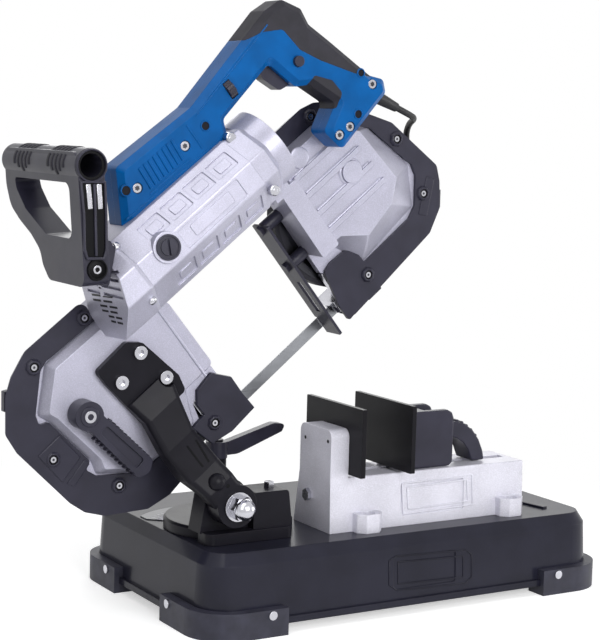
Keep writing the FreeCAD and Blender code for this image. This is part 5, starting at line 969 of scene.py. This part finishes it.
cheeks = bmesh.new()
for near, far in CHEEK_Y:
    plate(cheeks, stand, CHEEK, near, far)
finished("jaw_cheeks", cheeks, "jaw", BLACK, 1.6)
lever = bmesh.new()
plate(lever, stand, LEVER_LINE, *LEVER_Y)
knob(lever, around(stand, LEVER_PIN), disc(LEVER_HUB_R, *LEVER_Y), 32)
for x, z in LEVER_RIBS:
    knob(lever, turned_frame(stand(x, LEVER_MIDDLE, z), DEPTH, (1, 0, 0)), LEVER_RIB, 12)
paddle = finished("clamp_paddle", lever, "clamp", BLACK, 1.2)
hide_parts("clamp_lever")

# Tension lever: comb teeth along both edges of its arm, and the screw in its hub
HUB = Vector((-199.0, 129.0))
LEAN = math.radians(-82.0)
HUB_CAP = [(10.5, -57.9), (9.6, -59.2)]
HUB_SCREW = collar(bore=3.2, crest=6.0, foot=6.4, low=-59.1, high=-60.2)
TEETH = 11
TOOTH_FIRST = 22.0
TOOTH_PITCH = 5.7
TOOTH_IN = 9.0
TOOTH_OUT = 13.6
TOOTH_HALF = 1.5
TOOTH_BACK = -47.0
TOOTH_FRONT = -54.5
arm = Vector((math.cos(LEAN), math.sin(LEAN)))
edgeways = Vector((-math.sin(LEAN), math.cos(LEAN)))
hub_place = around(saw, (HUB.x, 0.0, HUB.y))
teeth = bmesh.new()
for k in range(TEETH):
    middle = HUB + arm * (TOOTH_FIRST + k * TOOTH_PITCH)
    for out in (-edgeways, edgeways):
        start, finish = middle + out * TOOTH_IN, middle + out * TOOTH_OUT
        bar(teeth, saw, start, finish, TOOTH_HALF, TOOTH_BACK, TOOTH_FRONT, drawn_in=0.5)
knob(teeth, hub_place, HUB_CAP, 32)
finished("lever_teeth", teeth, "tension", BLACK, 0.3)
socket = bmesh.new()
ring(socket, hub_place, HUB_SCREW, 28)
finished("lever_screw", socket, "tension", CHROME)

# Front handle: rim round the hollow near arm, with a dark sheet of painted shade in the hollow, its web,
# bright bars, a deep bolt seat darkened with painted shade, and a wide grip bore drawn as a dark ring of
# painted shade
ARM_FACE = -140.0
ARM_SUNK = 0.2
RIM_OUT_PX = [(79.0, 181), (82.0, 215), (82.6, 250), (86.0, 260), (104.5, 260), (107.0, 250), (106.8, 215),
              (105.4, 181)]
RIM_IN_PX = [(81.6, 183), (84.6, 215), (85.2, 249), (87.6, 257), (102.6, 257), (104.6, 249), (104.4, 215),
             (103.2, 183)]
RIM_H = 2.6
HOLLOW_SHADE_H = 0.25
WEB_PX = [(93.6, 184.0), (94.8, 217.0), (95.6, 256.0)]
WEB_HALF = 1.2
WEB_H = 2.4
BARS_PX = [((87.6, 184.0), (89.8, 209.0)), ((98.4, 184.0), (99.8, 209.0))]
BAR_HALF = 2.4
BAR_H = 1.8
BORE_RIM = [(13.6, ARM_FACE + ARM_SUNK), (13.9, ARM_FACE - 3.4), (15.2, ARM_FACE - 3.4),
            (15.9, ARM_FACE + ARM_SUNK)]
BORE_SHADE = collar(bore=10.9, crest=13.8, foot=13.8, low=ARM_FACE + 0.3, high=ARM_FACE - 0.3)
BOLT_HEAD_PX = (100.6, 270.0)
BOLT_MIDDLE_PX = (97.0, 269.7)
SEAT_WALL = collar(bore=8.4, crest=9.8, foot=11.0, low=-2.6, high=2.4)
SEAT_FLOOR = [(8.5, -0.3), (8.5, 0.3), (8.1, 0.5)]
BOLT_SOCKET = collar(bore=2.3, crest=3.9, foot=4.3, low=0.45, high=1.3)
ROUND_SIDES = 40


def on_plane(px, py, depth):
    """Point of a plane square to the depth axis, in millimetres, that a picture point shows."""
    ray = ray_through(px, py)
    return EYE + ray * ((depth * MM - EYE.y) / ray.y)


def face_row(bm, outline, depth, rise):
    """Corners over an outline of picture points, raised from the plane towards the operator."""
    return [bm.verts.new(on_plane(px, py, depth) - DEPTH * (rise * MM)) for px, py in outline]


def frame_plate(bm, outer, inner, depth, rise):
    """Raised border between two outlines of picture points."""
    section = ((outer, 0), (outer, rise), (inner, rise), (inner, 0))
    rows = [face_row(bm, loop, depth, height) for loop, height in section]
    for k in range(len(rows)):
        bridge(bm, rows[k - 1], rows[k])


def face_bar(bm, start, finish, half_width, rise):
    """Straight bar on the arm's face, from one picture point to another."""
    one, two = on_plane(*start, ARM_FACE), on_plane(*finish, ARM_FACE)
    straight_bar(bm, one, two, -DEPTH, half_width, -ARM_SUNK, rise)


grip = around(saw, (GRIP_U, 0.0, GRIP_V))
rim = bmesh.new()
frame_plate(rim, RIM_OUT_PX, RIM_IN_PX, ARM_FACE + ARM_SUNK, RIM_H)
ring(rim, grip, BORE_RIM, ROUND_SIDES)
finished("handle_rim", rim, "saw", BLACK, 0.7)
# Dark sheet of painted shade inside the rim, and a dark ring of painted shade that makes the grip bore look
# wider
hollow_shade = bmesh.new()
capped(hollow_shade, [face_row(hollow_shade, RIM_IN_PX, ARM_FACE, rise) for rise in (-ARM_SUNK, HOLLOW_SHADE_H)])
ring(hollow_shade, grip, BORE_SHADE, ROUND_SIDES)
finished("handle_hollow_shade", hollow_shade, "saw", SHADE_BLACK)
web = bmesh.new()
for start, finish in zip(WEB_PX, WEB_PX[1:]):
    face_bar(web, start, finish, WEB_HALF, WEB_H)
finished("handle_web", web, "saw", BLACK, 0.4)
bars = bmesh.new()
for start, finish in BARS_PX:
    face_bar(bars, start, finish, BAR_HALF, BAR_H)
finished("handle_bars", bars, "saw", CHROME, 0.4)
bolt_skin = skin("cap_screws", "housing_screws", "handle_pins")
bolt_depth = spot(bolt_skin, *BOLT_HEAD_PX)[0].y / MM
bolt = turned_frame(on_plane(*BOLT_MIDDLE_PX, bolt_depth), -DEPTH, crown)
# Bolt seat in near-black: painted shade in the recess round the bolt
seat_shade = bmesh.new()
ring(seat_shade, bolt, SEAT_WALL, ROUND_SIDES)
knob(seat_shade, bolt, SEAT_FLOOR, ROUND_SIDES)
finished("bolt_seat_shade", seat_shade, "saw", SHADE_BLACK, 0.3)
socket = bmesh.new()
ring(socket, bolt, BOLT_SOCKET, 30)
finished("bolt_socket", socket, "saw", CHROME)

# Guards: edge tabs that stand on the outer wall
# Guard, a place in it behind the tab, and the tab's direction in degrees from the blade
TABS = [
    ("idler_guard", (-246.3, -18.0, 185.5), 141.0),
    ("drive_guard", (275.6, -20.0, 15.9), -39.0),
    ("drive_guard", (142.7, -20.0, -11.7), -90.0),
]
TAB_OUTLINE = [(-5.0, -11.0), (5.0, -11.0), (5.0, 11.0), (-5.0, 11.0)]
TAB_SUNK = -3.0
TAB_H = 2.8
TAB_REACH = 60.0
tabs = bmesh.new()
for guard, place_at, degrees in TABS:
    way = math.radians(degrees)
    out = ALONG * math.cos(way) + SQUARE * math.sin(way)
    wall = skin(guard).ray_cast(saw(*place_at) + out * (TAB_REACH * MM), -out)[0]
    plate(tabs, turned_frame(wall, out, DEPTH), TAB_OUTLINE, TAB_SUNK, TAB_H, drawn_in=1.0)
finished("guard_tabs", tabs, "saw", BLACK, 0.6)

# Lower blade guide: the cover with its lower corner
COVER = [(-62.7, 58.8), (-86.5, 55.0), (-96.2, 42.5), (-96.1, 29.0), (-115.0, 27.4), (-108.2, -2.6),
         (-81.9, -8.4), (-46.2, -6.6), (-47.5, 16.4), (-46.9, 38.8)]
COVER_BACK = -22.0
COVER_FRONT = -26.3
cover = bmesh.new()
plate(cover, saw, COVER, COVER_BACK, COVER_FRONT, drawn_in=0.7)
guide_cover = finished("guide_cover", cover, "saw", BLACK, 0.5)
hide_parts("lower_guide_cover")

# Bracket: round knob, and a hole and two grooves beside the pivot drawn as dark marks of painted shade
BRACKET_KNOB_PX = (217, 482)
BRACKET_KNOB = [(9.0, -1.0), (8.8, 1.6), (7.9, 3.8), (6.2, 5.6), (3.8, 6.8), (1.2, 7.3)]
BRACKET_HOLE_PX = (228, 486)
BRACKET_HOLE = disc(2.2, SUNK, 0.15)
GROOVES_PX = [((187, 446), (203, 467)), ((196, 440), (209, 462))]
GROOVE_HALF = 1.1
bracket = skin("arm_bracket")
bracket_knob = bmesh.new()
dot(bracket_knob, bracket, BRACKET_KNOB_PX, BRACKET_KNOB, 36)
finished("bracket_knob", bracket_knob, "saw", CAST_BLACK)
hole_groove_shades = bmesh.new()
# Hole and grooves drawn in near-black as painted shade
dot(hole_groove_shades, bracket, BRACKET_HOLE_PX, BRACKET_HOLE)
for start, finish in GROOVES_PX:
    strip(hole_groove_shades, bracket, start, finish, GROOVE_HALF, SUNK, MARK_H)
finished("bracket_hole_groove_shades", hole_groove_shades, "saw", SHADE_BLACK)

# Motor: turned rings on the brush cap and two more housing bolts
CAP_FACE_PX = (168.0, 243.0)
CAP_RINGS = (7.4, 10.4)
CAP_RING_W = 0.9
CAP_RING_H = 0.35
HOUSING_BOLTS_PX = ((152.0, 300.0), (116.0, 247.0))
HOUSING_BOLT = [(4.3, -1.0), (4.3, 2.4), (3.4, 3.6), (1.2, 4.2)]
cap_point, cap_out = spot(skin("brush_cap"), *CAP_FACE_PX)
cap_low, cap_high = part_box("brush_cap")
cap_middle = (Vector(cap_low) + Vector(cap_high)) / 2
cap_face = turned_frame(cap_middle + cap_out * (cap_point - cap_middle).dot(cap_out), cap_out, crown)
cap_rings = bmesh.new()
for radius in CAP_RINGS:
    ring(cap_rings, cap_face, collar(radius, radius + CAP_RING_W, radius + CAP_RING_W, SUNK, CAP_RING_H), 48)
finished("brush_cap_rings", cap_rings, "saw", SCALE_GREY)
housing_bolts = bmesh.new()
for at in HOUSING_BOLTS_PX:
    dot(housing_bolts, bell, at, HOUSING_BOLT, 28)
finished("housing_bolts", housing_bolts, "saw", CHROME)
